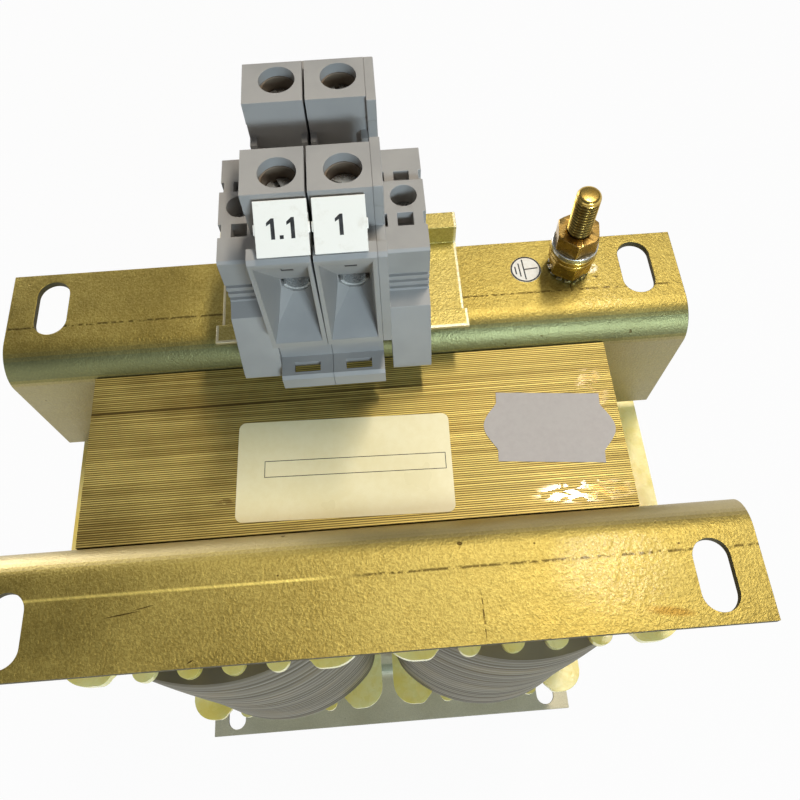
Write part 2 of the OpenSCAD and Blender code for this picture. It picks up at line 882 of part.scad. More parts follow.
module left_end_bracket() {
    color(housing_grey) on_rail(row_x) end_bracket();
}

module right_end_bracket() {
    color(housing_grey) on_rail(right_end_x) end_bracket();
}

module end_bracket_screws() {
    color(zinc) for (x = [row_x, right_end_x])
        on_rail(x + end_w / 2) slotted_screw(end_screw_r, rail_t - rail_h,
            end_hole_r - cage_clear, end_h - end_hole_deep, end_head_h);
}

// Earth stud, from the flange upwards

lower_nut_z = tooth_t;
plain_z = lower_nut_z + nut_h;
spring_z = plain_z + 2 * washer_t;
upper_nut_z = spring_z + washer_t;

stud_x = bracket_len / 2 - stud_inset;
stud_out = bracket_d - stud_edge;
stud_hole = stud_d + 2 * bolt_clear;
held_d = stud_d - 2 * thread_deep;
free_z = upper_nut_z + nut_h + thread_start;

module at_stud(z) {
    place() translate([stud_x, core_face + stud_out, total_h + z]) children();
}

module stud_nut() {
    wide_r = hex_af / 2 / cos(30);
    intersection() {
        difference() {
            hexagon(hex_af, nut_h);
            translate([0, 0, -eps]) cylinder(d = held_d + bolt_clear, h = nut_h + 2 * eps);
        }
        rotate_extrude() polygon([
            [0, 0],
            [wide_r - nut_chamfer, 0],
            [wide_r, nut_chamfer / 2],
            [wide_r, nut_h - nut_chamfer / 2],
            [wide_r - nut_chamfer, nut_h],
            [0, nut_h]
        ]);
    }
}

// The thread stands at its crest outside the nuts and at its pitch line inside them
module earth_stud() {
    r = stud_d / 2;
    crests = [[-sheet_t - eps, lower_nut_z], [plain_z, upper_nut_z], [free_z, stud_h - stud_tip]];
    color(steel_gold) {
        at_stud(-sheet_t - head_h) hexagon(hex_af, head_h);
        at_stud(-sheet_t - eps) cylinder(d = held_d, h = sheet_t + free_z + 2 * eps);
        for (span = crests) at_stud(span[0]) cylinder(r = r, h = span[1] - span[0]);
        at_stud(stud_h - stud_tip) rotate_extrude() intersection() {
            translate([r - stud_tip, 0]) circle(stud_tip);
            square([r, stud_tip]);
        }
        at_stud(stud_h - stud_tip - eps) cylinder(r = r - stud_tip, h = stud_tip + eps);
    }
}

module earth_lock_washer() {
    tooth_deep = (tooth_d - stud_hole) / 3;
    color(zinc) at_stud(0) difference() {
        ring(tooth_d, stud_hole, tooth_t);
        for (i = [0 : tooth_count - 1]) rotate(i * 360 / tooth_count)
            translate([tooth_d / 2 - tooth_deep, -tooth_gap / 2, -eps])
                cube([2 * tooth_deep, tooth_gap, tooth_t + 2 * eps]);
    }
}

module earth_lower_nut() {
    color(steel_gold) at_stud(lower_nut_z) rotate(lower_turn) stud_nut();
}

module earth_lower_washer() {
    color(steel_gold) at_stud(plain_z) ring(washer_d, stud_hole, washer_t);
}

module earth_upper_washer() {
    color(steel_gold) at_stud(plain_z + washer_t) ring(washer_d, stud_hole, washer_t);
}

module earth_spring_washer() {
    color(zinc) at_stud(spring_z) difference() {
        ring(spring_d, stud_hole, washer_t);
        translate([0, -spring_cut / 2, -eps]) cube([spring_d, spring_cut, washer_t + 2 * eps]);
    }
}

module earth_upper_nut() {
    color(steel_gold) at_stud(upper_nut_z) rotate(upper_turn) stud_nut();
}

upper_yoke();
u_core();
gap_spacers();
top_rear_bracket();
top_front_bracket();
bottom_rear_bracket();
bottom_front_bracket();
core_bolts();
core_washers();
core_nuts();
left_coil_former();
right_coil_former();
left_winding();
right_winding();
din_rail();
left_terminal_housing();
right_terminal_housing();
end_cover();
clamp_cages();
clamp_screws();
current_bars();
left_marker_tag();
right_marker_tag();
left_end_bracket();
right_end_bracket();
end_bracket_screws();
earth_stud();
earth_lock_washer();
earth_lower_nut();
earth_lower_washer();
earth_upper_washer();
earth_spring_washer();
earth_upper_nut();
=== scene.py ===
import math
import random

import bmesh
import bpy
from mathutils import Matrix, Vector
from mathutils.geometry import tessellate_polygon


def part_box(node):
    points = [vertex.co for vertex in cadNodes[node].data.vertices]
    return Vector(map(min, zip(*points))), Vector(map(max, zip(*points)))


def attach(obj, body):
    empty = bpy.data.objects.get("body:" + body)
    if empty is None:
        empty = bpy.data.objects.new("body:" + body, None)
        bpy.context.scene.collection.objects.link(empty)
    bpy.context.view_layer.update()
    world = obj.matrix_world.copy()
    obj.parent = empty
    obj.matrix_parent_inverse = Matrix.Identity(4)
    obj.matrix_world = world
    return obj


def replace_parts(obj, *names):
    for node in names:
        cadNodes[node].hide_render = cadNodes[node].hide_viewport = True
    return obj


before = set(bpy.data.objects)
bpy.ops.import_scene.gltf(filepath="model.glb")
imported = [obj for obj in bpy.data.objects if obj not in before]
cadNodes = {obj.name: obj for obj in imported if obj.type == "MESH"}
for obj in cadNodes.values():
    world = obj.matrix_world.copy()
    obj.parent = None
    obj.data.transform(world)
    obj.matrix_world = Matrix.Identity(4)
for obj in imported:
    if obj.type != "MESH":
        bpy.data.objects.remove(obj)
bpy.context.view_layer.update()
mm = 0.001
print("frame loaded:", len(cadNodes), "nodes")

# Places that several pieces share, read from the frame
yokeLow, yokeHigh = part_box("upper_yoke")
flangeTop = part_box("top_rear_bracket")[1].z
railLow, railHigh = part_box("din_rail")
stackMidY = (yokeLow.y + yokeHigh.y) / 2
studLow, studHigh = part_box("earth_stud")
studX, studY = (studLow.x + studHigh.x) / 2, (studLow.y + studHigh.y) / 2


# Shader helpers

def newMaterial(name):
    mat = bpy.data.materials.new(name)
    mat.use_nodes = True
    tree = mat.node_tree
    tree.nodes.clear()
    out = tree.nodes.new("ShaderNodeOutputMaterial")
    bsdf = tree.nodes.new("ShaderNodeBsdfPrincipled")
    tree.links.new(bsdf.outputs["BSDF"], out.inputs["Surface"])
    return mat, tree, bsdf


def setInputs(tree, node, inputs):
    # sockets are linked, plain values written
    for key, value in inputs.items():
        if isinstance(value, bpy.types.NodeSocket):
            tree.links.new(value, node.inputs[key])
        else:
            node.inputs[key].default_value = value


def addNode(tree, kind, inputs=None, **props):
    node = tree.nodes.new(kind)
    for key, value in props.items():
        setattr(node, key, value)
    setInputs(tree, node, inputs or {})
    return node


def objectCoords(tree, stretch=None):
    coords = addNode(tree, "ShaderNodeTexCoord").outputs["Object"]
    if stretch is None:
        return coords
    return addNode(tree, "ShaderNodeMapping", {"Vector": coords, "Scale": stretch}).outputs["Vector"]


def splitXYZ(tree, vector):
    return addNode(tree, "ShaderNodeSeparateXYZ", {0: vector}).outputs


def noise(tree, coords, scale, detail=3.0, roughness=0.5, distortion=0.0):
    node = addNode(tree, "ShaderNodeTexNoise", {
        "Vector": coords, "Scale": scale, "Detail": detail,
        "Roughness": roughness, "Distortion": distortion})
    return node.outputs["Fac"]


def ramp(tree, fac, low, high, fromValue=0.0, toValue=1.0):
    node = addNode(tree, "ShaderNodeMapRange", {
        "Value": fac, "From Min": low, "From Max": high, "To Min": fromValue, "To Max": toValue})
    node.interpolation_type = "SMOOTHSTEP"
    return node.outputs["Result"]


def calc(tree, operation, first, second=0.0):
    return addNode(tree, "ShaderNodeMath", {0: first, 1: second}, operation=operation).outputs["Value"]


def plus(tree, first, second):
    return calc(tree, "ADD", first, second)


def minus(tree, first, second):
    return calc(tree, "SUBTRACT", first, second)


def apart(tree, first, second):
    return calc(tree, "ABSOLUTE", minus(tree, first, second))


def times(tree, first, *others):
    for other in others:
        first = calc(tree, "MULTIPLY", first, other)
    return first


def most(tree, first, *others):
    for other in others:
        first = calc(tree, "MAXIMUM", first, other)
    return first


def blendColor(tree, fac, first, second):
    return addNode(tree, "ShaderNodeMix", {0: fac, 6: first, 7: second}, data_type="RGBA").outputs[2]


def bump(tree, height, strength, depth):
    inputs = {"Height": height, "Strength": strength, "Distance": depth}
    return addNode(tree, "ShaderNodeBump", inputs).outputs["Normal"]


def rgb(r, g, b):
    # sRGB 0..255 to a linear colour
    def lin(c):
        c = c / 255
        return c / 12.92 if c <= 0.04045 else ((c + 0.055) / 1.055) ** 2.4
    return (lin(r), lin(g), lin(b), 1.0)


# Finishes

yellowZinc = {
    # bend is partly the chromate's tint and partly painted reflection, web is a painted reflection tone for the
    # upright
    "gold": rgb(189, 172, 98), "olive": rgb(146, 129, 66), "bend": rgb(96, 106, 82), "edge": rgb(58, 54, 46),
    # cut is the colour of the painted highlight on the rail's cut edges
    "web": rgb(158, 152, 124), "cut": rgb(240, 232, 204), "pit": rgb(86, 70, 38),
    "stain": rgb(132, 92, 26), "smear": rgb(222, 220, 206), "scratch": rgb(58, 40, 20),
    "grainScale": 1900, "grainDepth": 0.14 * mm, "peelScale": 620, "blotchScale": 38, "pitScale": 310,
    "roughness": (0.42, 0.54), "oil": 0.22, "oilRoughness": 0.16, "oilDepth": 0.3 * mm,
    "lineOut": 34.7 * mm, "lineWidth": 0.5 * mm, "breakScale": 760, "lineTurns": (-14 * mm, 4 * mm),
    "lineLight": rgb(246, 226, 130), "lineDark": rgb(70, 56, 26),
}
# marks on the upper flanges, from the stack's middle in mm: x, y, half length, half width, lean
flangeMarks = [
    (22.2, -29.4, 0.7, 0.55, 0), (38.7, -30.7, 0.3, 0.25, 0), (-18.2, -33.4, 0.28, 0.25, 0),
    (-51.5, -39.1, 4.2, 0.16, 0.13), (-47.0, -38.0, 2.6, 0.13, 0.2), (-36.5, -49.8, 0.7, 0.2, 0.5),
    (58.66, 35.4, 0.17, 1.4, 0), (7.0, 29.5, 0.4, 0.3, 0), (70.5, -33.2, 0.35, 0.3, 0),
]
dottedMark = (25.7, -45.3, 0.2, 5.8, 0)
warmStain = (65.5, -47.4, 6.5, 1.3, -0.15)
paleSmear = (65.0, 41.0, 2.2, 2.0, 0)
oilPatches = [(56.0, -37.0, 17.0, 13.0, 0), (68.0, 37.0, 14.0, 12.0, 0)]


def spot(tree, place, mark, soft=0.45):
    # 1 inside an ellipse on the flange, falling to 0 at its rim
    x, y, rx, ry, lean = mark
    dx = minus(tree, place["X"], x * mm)
    dy = minus(tree, place["Y"], stackMidY + y * mm)
    if lean:
        dy = minus(tree, dy, times(tree, dx, lean))
    dx = calc(tree, "DIVIDE", dx, rx * mm)
    dy = calc(tree, "DIVIDE", dy, ry * mm)
    return ramp(tree, plus(tree, times(tree, dx, dx), times(tree, dy, dy)), 1.0, soft)


def makeYellowZinc(name, marked=False, gold=yellowZinc["gold"], olive=yellowZinc["olive"],
                   bendTone=yellowZinc["bend"], metal=1.0, rim=None):
    mat, tree, bsdf = newMaterial(name)
    coords = objectCoords(tree)
    place = splitXYZ(tree, coords)
    grain = noise(tree, coords, yellowZinc["grainScale"], 2.0, 0.6)
    peel = noise(tree, coords, yellowZinc["peelScale"], 3.0, 0.55)
    blotch = noise(tree, coords, yellowZinc["blotchScale"], 4.0, 0.6)
    streak = noise(tree, objectCoords(tree, (12, 260, 260)), 1.0, 3.0)
    pits = ramp(tree, noise(tree, coords, yellowZinc["pitScale"], 2.0, 0.5), 0.74, 0.80)
    tone = plus(tree, plus(tree, times(tree, blotch, 0.7), 0.1), times(tree, minus(tree, grain, 0.5), 0.9))
    color = blendColor(tree, ramp(tree, tone, 0.15, 0.85), olive, gold)
    rough = ramp(tree, plus(tree, blotch, times(tree, streak, 0.3)), 0.3, 0.95, *yellowZinc["roughness"])
    if marked:
        # the bend gets a tone by face direction, partly the chromate's own greenish tint and partly painted
        # reflection; the upright gets a paler grey tone that is painted reflection
        facing = splitXYZ(tree, addNode(tree, "ShaderNodeNewGeometry").outputs["True Normal"])
        slope = calc(tree, "ABSOLUTE", facing["Z"])
        fromMid = apart(tree, place["Y"], stackMidY)
        bend = times(tree, ramp(tree, slope, 0.12, 0.4), ramp(tree, slope, 0.985, 0.8),
                     ramp(tree, fromMid, 30 * mm, 28 * mm), 0.75)
        color = blendColor(tree, bend, color, bendTone)
        web = times(tree, ramp(tree, slope, 0.3, 0.1), ramp(tree, fromMid, 27 * mm, 26 * mm), 0.65)
        color = blendColor(tree, web, color, yellowZinc["web"])
    color = blendColor(tree, times(tree, pits, 0.7), color, yellowZinc["pit"])
    if rim:
        # painted highlight: the rail's end and front cut edges are made pale
        low, high = rim
        half = (high.x - low.x) / 2
        paintedRimHighlight = most(tree, ramp(tree, apart(tree, place["X"], low.x + half), half - 0.8 * mm, half - 0.5 * mm),
                    ramp(tree, place["Y"], low.y + 0.8 * mm, low.y + 0.5 * mm))
        color = blendColor(tree, times(tree, paintedRimHighlight, 0.7), color, yellowZinc["cut"])
    if marked:
        # the brackets' cut edges are dark
        endCut = ramp(tree, calc(tree, "ABSOLUTE", facing["X"]), 0.55, 0.85)
        edge = times(tree, most(tree, ramp(tree, fromMid, 28.5 * mm, 29.5 * mm), endCut),
                     ramp(tree, slope, 0.5, 0.2))
        color = blendColor(tree, times(tree, edge, 0.85), color, yellowZinc["edge"])
        rough = plus(tree, rough, times(tree, edge, 0.3))
        metal = ramp(tree, edge, 0.0, 1.0, metal, metal / 2)
        # stain, smear, bending line and scratches on top
        onTop = ramp(tree, place["Z"], flangeTop - mm, flangeTop - 0.1 * mm)
        stain = times(tree, spot(tree, place, warmStain, 0.0), onTop, 0.55)
        color = blendColor(tree, stain, color, yellowZinc["stain"])
        smear = times(tree, spot(tree, place, paleSmear, 0.0), onTop, ramp(tree, grain, 0.35, 0.6))
        color = blendColor(tree, smear, color, yellowZinc["smear"])
        broken = ramp(tree, noise(tree, coords, yellowZinc["breakScale"], 2.0), 0.40, 0.54)
        rear = calc(tree, "GREATER_THAN", place["Y"], stackMidY)
        side = most(tree, ramp(tree, place["X"], *yellowZinc["lineTurns"]), rear)
        off = apart(tree, fromMid, yellowZinc["lineOut"])
        line = times(tree, ramp(tree, off, yellowZinc["lineWidth"], 0.08 * mm),
                     most(tree, broken, minus(tree, 0.85, side)), onTop, 0.8)
        lineColor = blendColor(tree, side, yellowZinc["lineLight"], yellowZinc["lineDark"])
        color = blendColor(tree, line, color, lineColor)
        dark = most(tree, times(tree, spot(tree, place, dottedMark), broken),
                    *(spot(tree, place, mark) for mark in flangeMarks))
        color = blendColor(tree, times(tree, dark, onTop, 0.85), color, yellowZinc["scratch"])
        # oil left on the right half of the flanges
        oil = most(tree, *(spot(tree, place, patch, 0.0) for patch in oilPatches))
        setInputs(tree, bsdf, {
            "Coat Weight": times(tree, oil, onTop, yellowZinc["oil"]), "Coat Roughness": yellowZinc["oilRoughness"],
            "Coat Normal": bump(tree, peel, 0.5, yellowZinc["oilDepth"])})
    height = plus(tree, plus(tree, grain, times(tree, pits, -1.5)), times(tree, peel, 0.9))
    setInputs(tree, bsdf, {"Base Color": color, "Roughness": rough, "Metallic": metal,
                           "Normal": bump(tree, height, 0.6, yellowZinc["grainDepth"])})
    return mat


coreVarnish = {
    "gold": rgb(234, 212, 126), "brown": rgb(166, 142, 74), "bare": rgb(206, 196, 164), "dark": rgb(60, 46, 20),
    "run": rgb(120, 84, 24), "sheet": 0.55 * mm, "roughness": (0.52, 0.64), "spread": 0.4, "metal": 0.92,
    "drift": 9.0, "step": 5.37, "depth": 0.07 * mm,
}
runPatches = [(54.0, -17.6, 15.0, 3.4, 0), (60.5, 9.0, 5.0, 9.0, 0), (-30.5, -13.0, 6.0, 2.6, 0)]


def makeCoreVarnish():
    mat, tree, bsdf = newMaterial("coreVarnish")
    coords = objectCoords(tree)
    place = splitXYZ(tree, coords)
    count = calc(tree, "DIVIDE", minus(tree, place["Y"], yokeLow.y), coreVarnish["sheet"])
    # each sheet's edge has a tone of its own that drifts along it
    own = addNode(tree, "ShaderNodeCombineXYZ", {
        "X": times(tree, place["X"], coreVarnish["drift"]),
        "Y": times(tree, calc(tree, "FLOOR", count), coreVarnish["step"]),
        "Z": times(tree, place["Z"], coreVarnish["drift"])})
    sheetTone = noise(tree, own.outputs["Vector"], 1.0, 2.0, 0.6)
    cloud = noise(tree, coords, 45, 4.0, 0.6)
    scratch = noise(tree, objectCoords(tree, (60, 2600, 60)), 1.0, 4.0, 0.8)
    tone = plus(tree, times(tree, sheetTone, 0.6), times(tree, cloud, 0.4))
    color = blendColor(tree, ramp(tree, tone, 0.30, 0.70), coreVarnish["brown"], coreVarnish["gold"])
    bare = ramp(tree, scratch, 0.70, 0.82)
    color = blendColor(tree, times(tree, bare, 0.35), color, coreVarnish["bare"])
    # the joints between sheets, and a few wide dark ones
    joint = ramp(tree, apart(tree, calc(tree, "FRACT", count), 0.5), 0.1, 0.45)
    color = blendColor(tree, times(tree, joint, 0.8), color, coreVarnish["dark"])
    wide = ramp(tree, sheetTone, 0.31, 0.24)
    color = blendColor(tree, times(tree, wide, 0.7), color, coreVarnish["dark"])
    # varnish run together, most of all near the front right edge
    run = noise(tree, objectCoords(tree, (240, 620, 240)), 1.0, 2.0, 0.5, 0.8)
    near = most(tree, spot(tree, place, runPatches[0], 0.2),
                *(times(tree, spot(tree, place, patch, 0.0), 0.8) for patch in runPatches[1:]))
    glaze = times(tree, ramp(tree, run, 0.46, 0.54), near)
    color = blendColor(tree, times(tree, glaze, 0.55), color, coreVarnish["run"])
    rough = ramp(tree, cloud, 0.3, 0.7, *coreVarnish["roughness"])
    along = addNode(tree, "ShaderNodeTangent", direction_type="RADIAL", axis="Y")
    height = plus(tree, scratch, times(tree, glaze, 1.4))
    setInputs(tree, bsdf, {
        "Base Color": color, "Roughness": minus(tree, rough, times(tree, glaze, 0.16)),
        "Metallic": coreVarnish["metal"], "Coat Weight": ramp(tree, glaze, 0.0, 1.0, 0.06, 1.0),
        "Coat Roughness": ramp(tree, glaze, 0.0, 1.0, 0.3, 0.06), "Anisotropic": coreVarnish["spread"],
        "Anisotropic Rotation": 0.25, "Tangent": along.outputs["Tangent"],
        "Normal": bump(tree, height, 0.4, coreVarnish["depth"])})
    return mat


plastic = {"grey": rgb(163, 160, 156), "shade": rgb(153, 151, 148), "roughness": (0.42, 0.56)}


def makeGreyPolyamide(name, grey=plastic["grey"], shade=plastic["shade"]):
    mat, tree, bsdf = newMaterial(name)
    coords = objectCoords(tree)
    cloud = noise(tree, coords, 90, 3.0)
    spark = noise(tree, coords, 4200, 2.0, 0.6)
    setInputs(tree, bsdf, {
        "Base Color": blendColor(tree, ramp(tree, cloud, 0.3, 0.7), shade, grey),
        "Roughness": ramp(tree, cloud, 0.25, 0.75, *plastic["roughness"]),
        "Normal": bump(tree, spark, 0.12, 0.03 * mm)})
    return mat


def makeTagWhite():
    mat, tree, bsdf = newMaterial("tagWhite")
    coords = objectCoords(tree)
    grime = noise(tree, coords, 420, 5.0, 0.65)
    soft = noise(tree, coords, 120, 3.0)
    dirt = times(tree, ramp(tree, grime, 0.52, 0.78), ramp(tree, soft, 0.4, 0.7), 0.6)
    setInputs(tree, bsdf, {
        "Base Color": blendColor(tree, dirt, rgb(240, 237, 228), rgb(198, 188, 168)),
        "Roughness": ramp(tree, soft, 0.2, 0.8, 0.45, 0.65), "Normal": bump(tree, grime, 0.1, 0.03 * mm)})
    return mat


# black for print, and for the painted shadow in the vents
def makePrintAndShadeBlack():
    mat, tree, bsdf = newMaterial("printAndShadeBlack")
    fade = noise(tree, objectCoords(tree), 900, 3.0)
    setInputs(tree, bsdf, {
        "Base Color": blendColor(tree, ramp(tree, fade, 0.35, 0.75), rgb(22, 22, 24), rgb(46, 46, 48)),
        "Roughness": ramp(tree, fade, 0.2, 0.8, 0.45, 0.7)})
    return mat


def makeFormerResin():
    mat, tree, bsdf = newMaterial("formerResin")
    coords = objectCoords(tree)
    cloud = noise(tree, coords, 70, 4.0, 0.6)
    drip = noise(tree, coords, 240, 2.0)
    setInputs(tree, bsdf, {
        "Base Color": blendColor(tree, ramp(tree, cloud, 0.3, 0.72), rgb(242, 216, 108), rgb(250, 236, 164)),
        "Roughness": ramp(tree, drip, 0.3, 0.7, 0.18, 0.42), "Subsurface Weight": 0.12,
        "Subsurface Radius": (4 * mm, 3 * mm, 1.5 * mm), "Subsurface Scale": 1.0,
        "Coat Weight": 0.4, "Coat Roughness": 0.15, "Normal": bump(tree, drip, 0.35, 0.25 * mm)})
    return mat


def makeWindingFilm():
    mat, tree, bsdf = newMaterial("windingFilm")
    bands = noise(tree, objectCoords(tree, (9, 9, 520)), 1.0, 3.0, 0.55, 0.4)
    cloud = noise(tree, objectCoords(tree), 55, 3.0)
    color = blendColor(tree, ramp(tree, bands, 0.34, 0.68), rgb(97, 88, 70), rgb(128, 118, 96))
    amber = times(tree, ramp(tree, cloud, 0.45, 0.75), 0.22)
    setInputs(tree, bsdf, {
        "Base Color": blendColor(tree, amber, color, rgb(150, 124, 66)), "Specular IOR Level": 0.22,
        "Roughness": ramp(tree, bands, 0.3, 0.7, 0.58, 0.40), "Normal": bump(tree, bands, 0.4, 0.3 * mm)})
    return mat


def makePlated(name, light, dark, roughLow, roughHigh, metal=1.0):
    mat, tree, bsdf = newMaterial(name)
    coords = objectCoords(tree)
    stain = noise(tree, coords, 900, 3.0, 0.6)
    fine = noise(tree, coords, 4500, 2.0)
    setInputs(tree, bsdf, {
        "Base Color": blendColor(tree, ramp(tree, stain, 0.3, 0.7), dark, light), "Metallic": metal,
        "Roughness": ramp(tree, stain, 0.25, 0.75, roughHigh, roughLow), "Normal": bump(tree, fine, 0.15, 0.03 * mm)})
    return mat


def makeStudGold(name, light, dark, grooveLow, grooveHigh, grooveShade):
    # painted shade stays in the thread's grooves, told by the distance from the stud's axis
    mat, tree, bsdf = newMaterial(name)
    coords = objectCoords(tree)
    stain = noise(tree, coords, 420, 3.0, 0.6)
    fine = noise(tree, coords, 3600, 2.0)
    color = blendColor(tree, ramp(tree, stain, 0.3, 0.7), dark, light)
    place = splitXYZ(tree, coords)
    dx, dy = minus(tree, place["X"], studX), minus(tree, place["Y"], studY)
    far = calc(tree, "SQRT", plus(tree, times(tree, dx, dx), times(tree, dy, dy)))
    belowTip = ramp(tree, place["Z"], studHigh.z - 1.1 * mm, studHigh.z - 0.6 * mm, 1.0, 0.0)
    paintedGrooveShade = times(tree, ramp(tree, far, grooveHigh, grooveLow), grooveShade, belowTip)
    setInputs(tree, bsdf, {
        "Base Color": blendColor(tree, paintedGrooveShade, color, rgb(52, 38, 14)), "Metallic": 1.0,
        "Roughness": ramp(tree, stain, 0.25, 0.75, 0.34, 0.2), "Normal": bump(tree, fine, 0.1, 0.02 * mm)})
    return mat


def makePaper(name, light, shade, scale, rough):
    mat, tree, bsdf = newMaterial(name)
    coords = objectCoords(tree)
    fibre = noise(tree, coords, scale, 5.0, 0.7)
    cloud = noise(tree, coords, 80, 3.0)
    tone = plus(tree, times(tree, fibre, 0.5), times(tree, cloud, 0.5))
    setInputs(tree, bsdf, {
        "Base Color": blendColor(tree, ramp(tree, tone, 0.35, 0.65), shade, light),
        "Roughness": ramp(tree, cloud, 0.2, 0.8, rough - 0.08, rough + 0.08),
        "Normal": bump(tree, tone, 0.15, 0.05 * mm)})
    return mat


finish = {
    "yellow_zinc": makeYellowZinc("yellowZincRear", True),
    "front_zinc": makeYellowZinc("yellowZincFront", True, bendTone=rgb(198, 184, 146)),
    "rail_zinc": makeYellowZinc("yellowZincRail", gold=rgb(202, 188, 118), olive=rgb(162, 146, 82),
                                rim=(railLow, railHigh)),
    # the lower brackets: the same yellow zinc made greyer, paler and half metallic, a painted haze of light over them
    "zinc_painted_haze": makeYellowZinc("yellowZincPaintedHaze", True, rgb(210, 202, 176), rgb(188, 180, 152), metal=0.4),
    "core_varnish": makeCoreVarnish(),
    "bright_zinc": makePlated("brightZinc", rgb(226, 226, 222), rgb(176, 178, 178), 0.22, 0.4),
    "stud_gold": makeStudGold("studGold", rgb(222, 192, 108), rgb(172, 140, 66), 2.55 * mm, 2.9 * mm, 0.85),
    "nut_gold": makeStudGold("nutGold", rgb(204, 172, 104), rgb(150, 120, 62), 2.9 * mm, 3.4 * mm, 0.8),
    "copper_bar": makePlated("copperBar", rgb(214, 168, 128), rgb(176, 122, 84), 0.26, 0.4),
    "grey_polyamide": makeGreyPolyamide("greyPolyamide"),
    # painted shade and warm reflection for the screw holes' walls
    "sleeve_brown": makeGreyPolyamide("sleevePaintedShade", rgb(128, 112, 94), rgb(112, 98, 82)),
    # near white and half metallic, so the jaws show bright: painted highlight for their glints
    "jaw_steel": makePlated("jawSteelPaintedGlint", rgb(240, 238, 232), rgb(214, 214, 210), 0.2, 0.34, metal=0.5),
    "white_tag": makeTagWhite(),
    # real print, and also the painted shadow in the vents
    "print": makePrintAndShadeBlack(),
    "former_resin": makeFormerResin(),
    "winding_film": makeWindingFilm(),
    "pressboard": makePaper("pressboard", rgb(176, 146, 100), rgb(140, 110, 70), 900, 0.75),
    "cream_label": makePaper("creamLabel", rgb(240, 228, 184), rgb(235, 221, 172), 500, 0.34),
    "lilac_sticker": makePaper("lilacSticker", rgb(186, 179, 174), rgb(178, 170, 166), 700, 0.6),
    "sign_white": makePaper("signWhite", rgb(238, 234, 226), rgb(222, 214, 200), 900, 0.45),
}
print("finishes made:", len(finish))


# Mesh helpers

def addPiece(name, mesh, material):
    piece = bpy.data.objects.new(name, mesh)
    bpy.context.scene.collection.objects.link(piece)
    mesh.materials.clear()
    mesh.materials.append(material)
    for face in mesh.polygons:
        face.use_smooth = False
    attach(piece, "root")
    return piece


def meshFrom(name, verts, faces):
    mesh = bpy.data.meshes.new(name)
    mesh.from_pydata(verts, [], faces)
    mesh.validate()
    mesh.update()
    return mesh


def circle(r, steps=48):
    return [(r * math.cos(2 * math.pi * k / steps), r * math.sin(2 * math.pi * k / steps)) for k in range(steps)]


def bmeshInto(bm, mesh):
    bmesh.ops.triangulate(bm, faces=[f for f in bm.faces if len(f.verts) > 4])
    bm.to_mesh(mesh)
    bm.free()
    return mesh


def turnOutwards(mesh):
    bm = bmesh.new()
    bm.from_mesh(mesh)
    bmesh.ops.recalc_face_normals(bm, faces=bm.faces)
    return bmeshInto(bm, mesh)


def smoothByAngle(mesh, degrees):
    for face in mesh.polygons:
        face.use_smooth = True
    mesh.set_sharp_from_angle(angle=math.radians(degrees))


def flattenShading(piece):
    # large faces set the normals, so that only the broken edges look round
    weigh = piece.modifiers.new("normals", "WEIGHTED_NORMAL")
    weigh.mode = "FACE_AREA"
    weigh.weight = 100
    weigh.keep_sharp = True
    bpy.context.view_layer.update()
    piece.data = bpy.data.meshes.new_from_object(piece.evaluated_get(bpy.context.evaluated_depsgraph_get()))
    piece.modifiers.clear()


shellDetail = {"weld": 0.002 * mm, "flat": 0.6, "sharp": 32, "smooth": 50}


def roundEdges(name, node, look, width):
    # a copy of the CAD piece with its sharp edges broken, as moulding and folding leave them
    bm = bmesh.new()
    bm.from_mesh(cadNodes[node].data)
    bmesh.ops.remove_doubles(bm, verts=bm.verts, dist=shellDetail["weld"])
    bmesh.ops.dissolve_limit(bm, angle_limit=math.radians(shellDetail["flat"]), verts=bm.verts, edges=bm.edges)
    limit = math.radians(shellDetail["sharp"])
    edges = [e for e in bm.edges if len(e.link_faces) == 2 and e.calc_face_angle(0) > limit]
    bmesh.ops.bevel(bm, geom=edges, offset=width, offset_type="OFFSET", segments=2,
                    profile=0.5, affect="EDGES", clamp_overlap=True, loop_slide=True)
    mesh = bmeshInto(bm, bpy.data.meshes.new(name))
    piece = addPiece(name, mesh, finish[look])
    smoothByAngle(mesh, shellDetail["smooth"])
    flattenShading(piece)
    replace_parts(piece, node)
    return piece


# Folded brackets, rail and moulded pieces

# look, slot, width of the broken edge in mm, nodes
roundedNodes = [
    ("yellow_zinc", "yellow_zinc", 0.22, ["top_rear_bracket"]),
    ("front_zinc", "yellow_zinc", 0.22, ["top_front_bracket"]),
    ("zinc_painted_haze", "yellow_zinc", 0.22, ["bottom_rear_bracket", "bottom_front_bracket"]),
    ("rail_zinc", "yellow_zinc", 0.16, ["din_rail"]),
    ("grey_polyamide", "grey_polyamide", 0.18, ["left_terminal_housing", "right_terminal_housing"]),
    ("grey_polyamide", "grey_polyamide", 0.2, ["end_cover"]),
    ("grey_polyamide", "grey_polyamide", 0.16, ["left_end_bracket", "right_end_bracket"]),
    ("white_tag", "white_tag", 0.14, ["left_marker_tag", "right_marker_tag"]),
    ("stud_gold", "stud_gold", 0.25, ["earth_lower_nut"]),
    ("stud_gold", "stud_gold", 0.3, ["earth_lower_washer", "earth_upper_washer"]),
    ("bright_zinc", "bright_zinc", 0.3, ["earth_spring_washer"]),
    ("nut_gold", "stud_gold", 0.25, ["earth_upper_nut"]),
    ("former_resin", "former_resin", 0.7, ["left_coil_former", "right_coil_former"]),
]
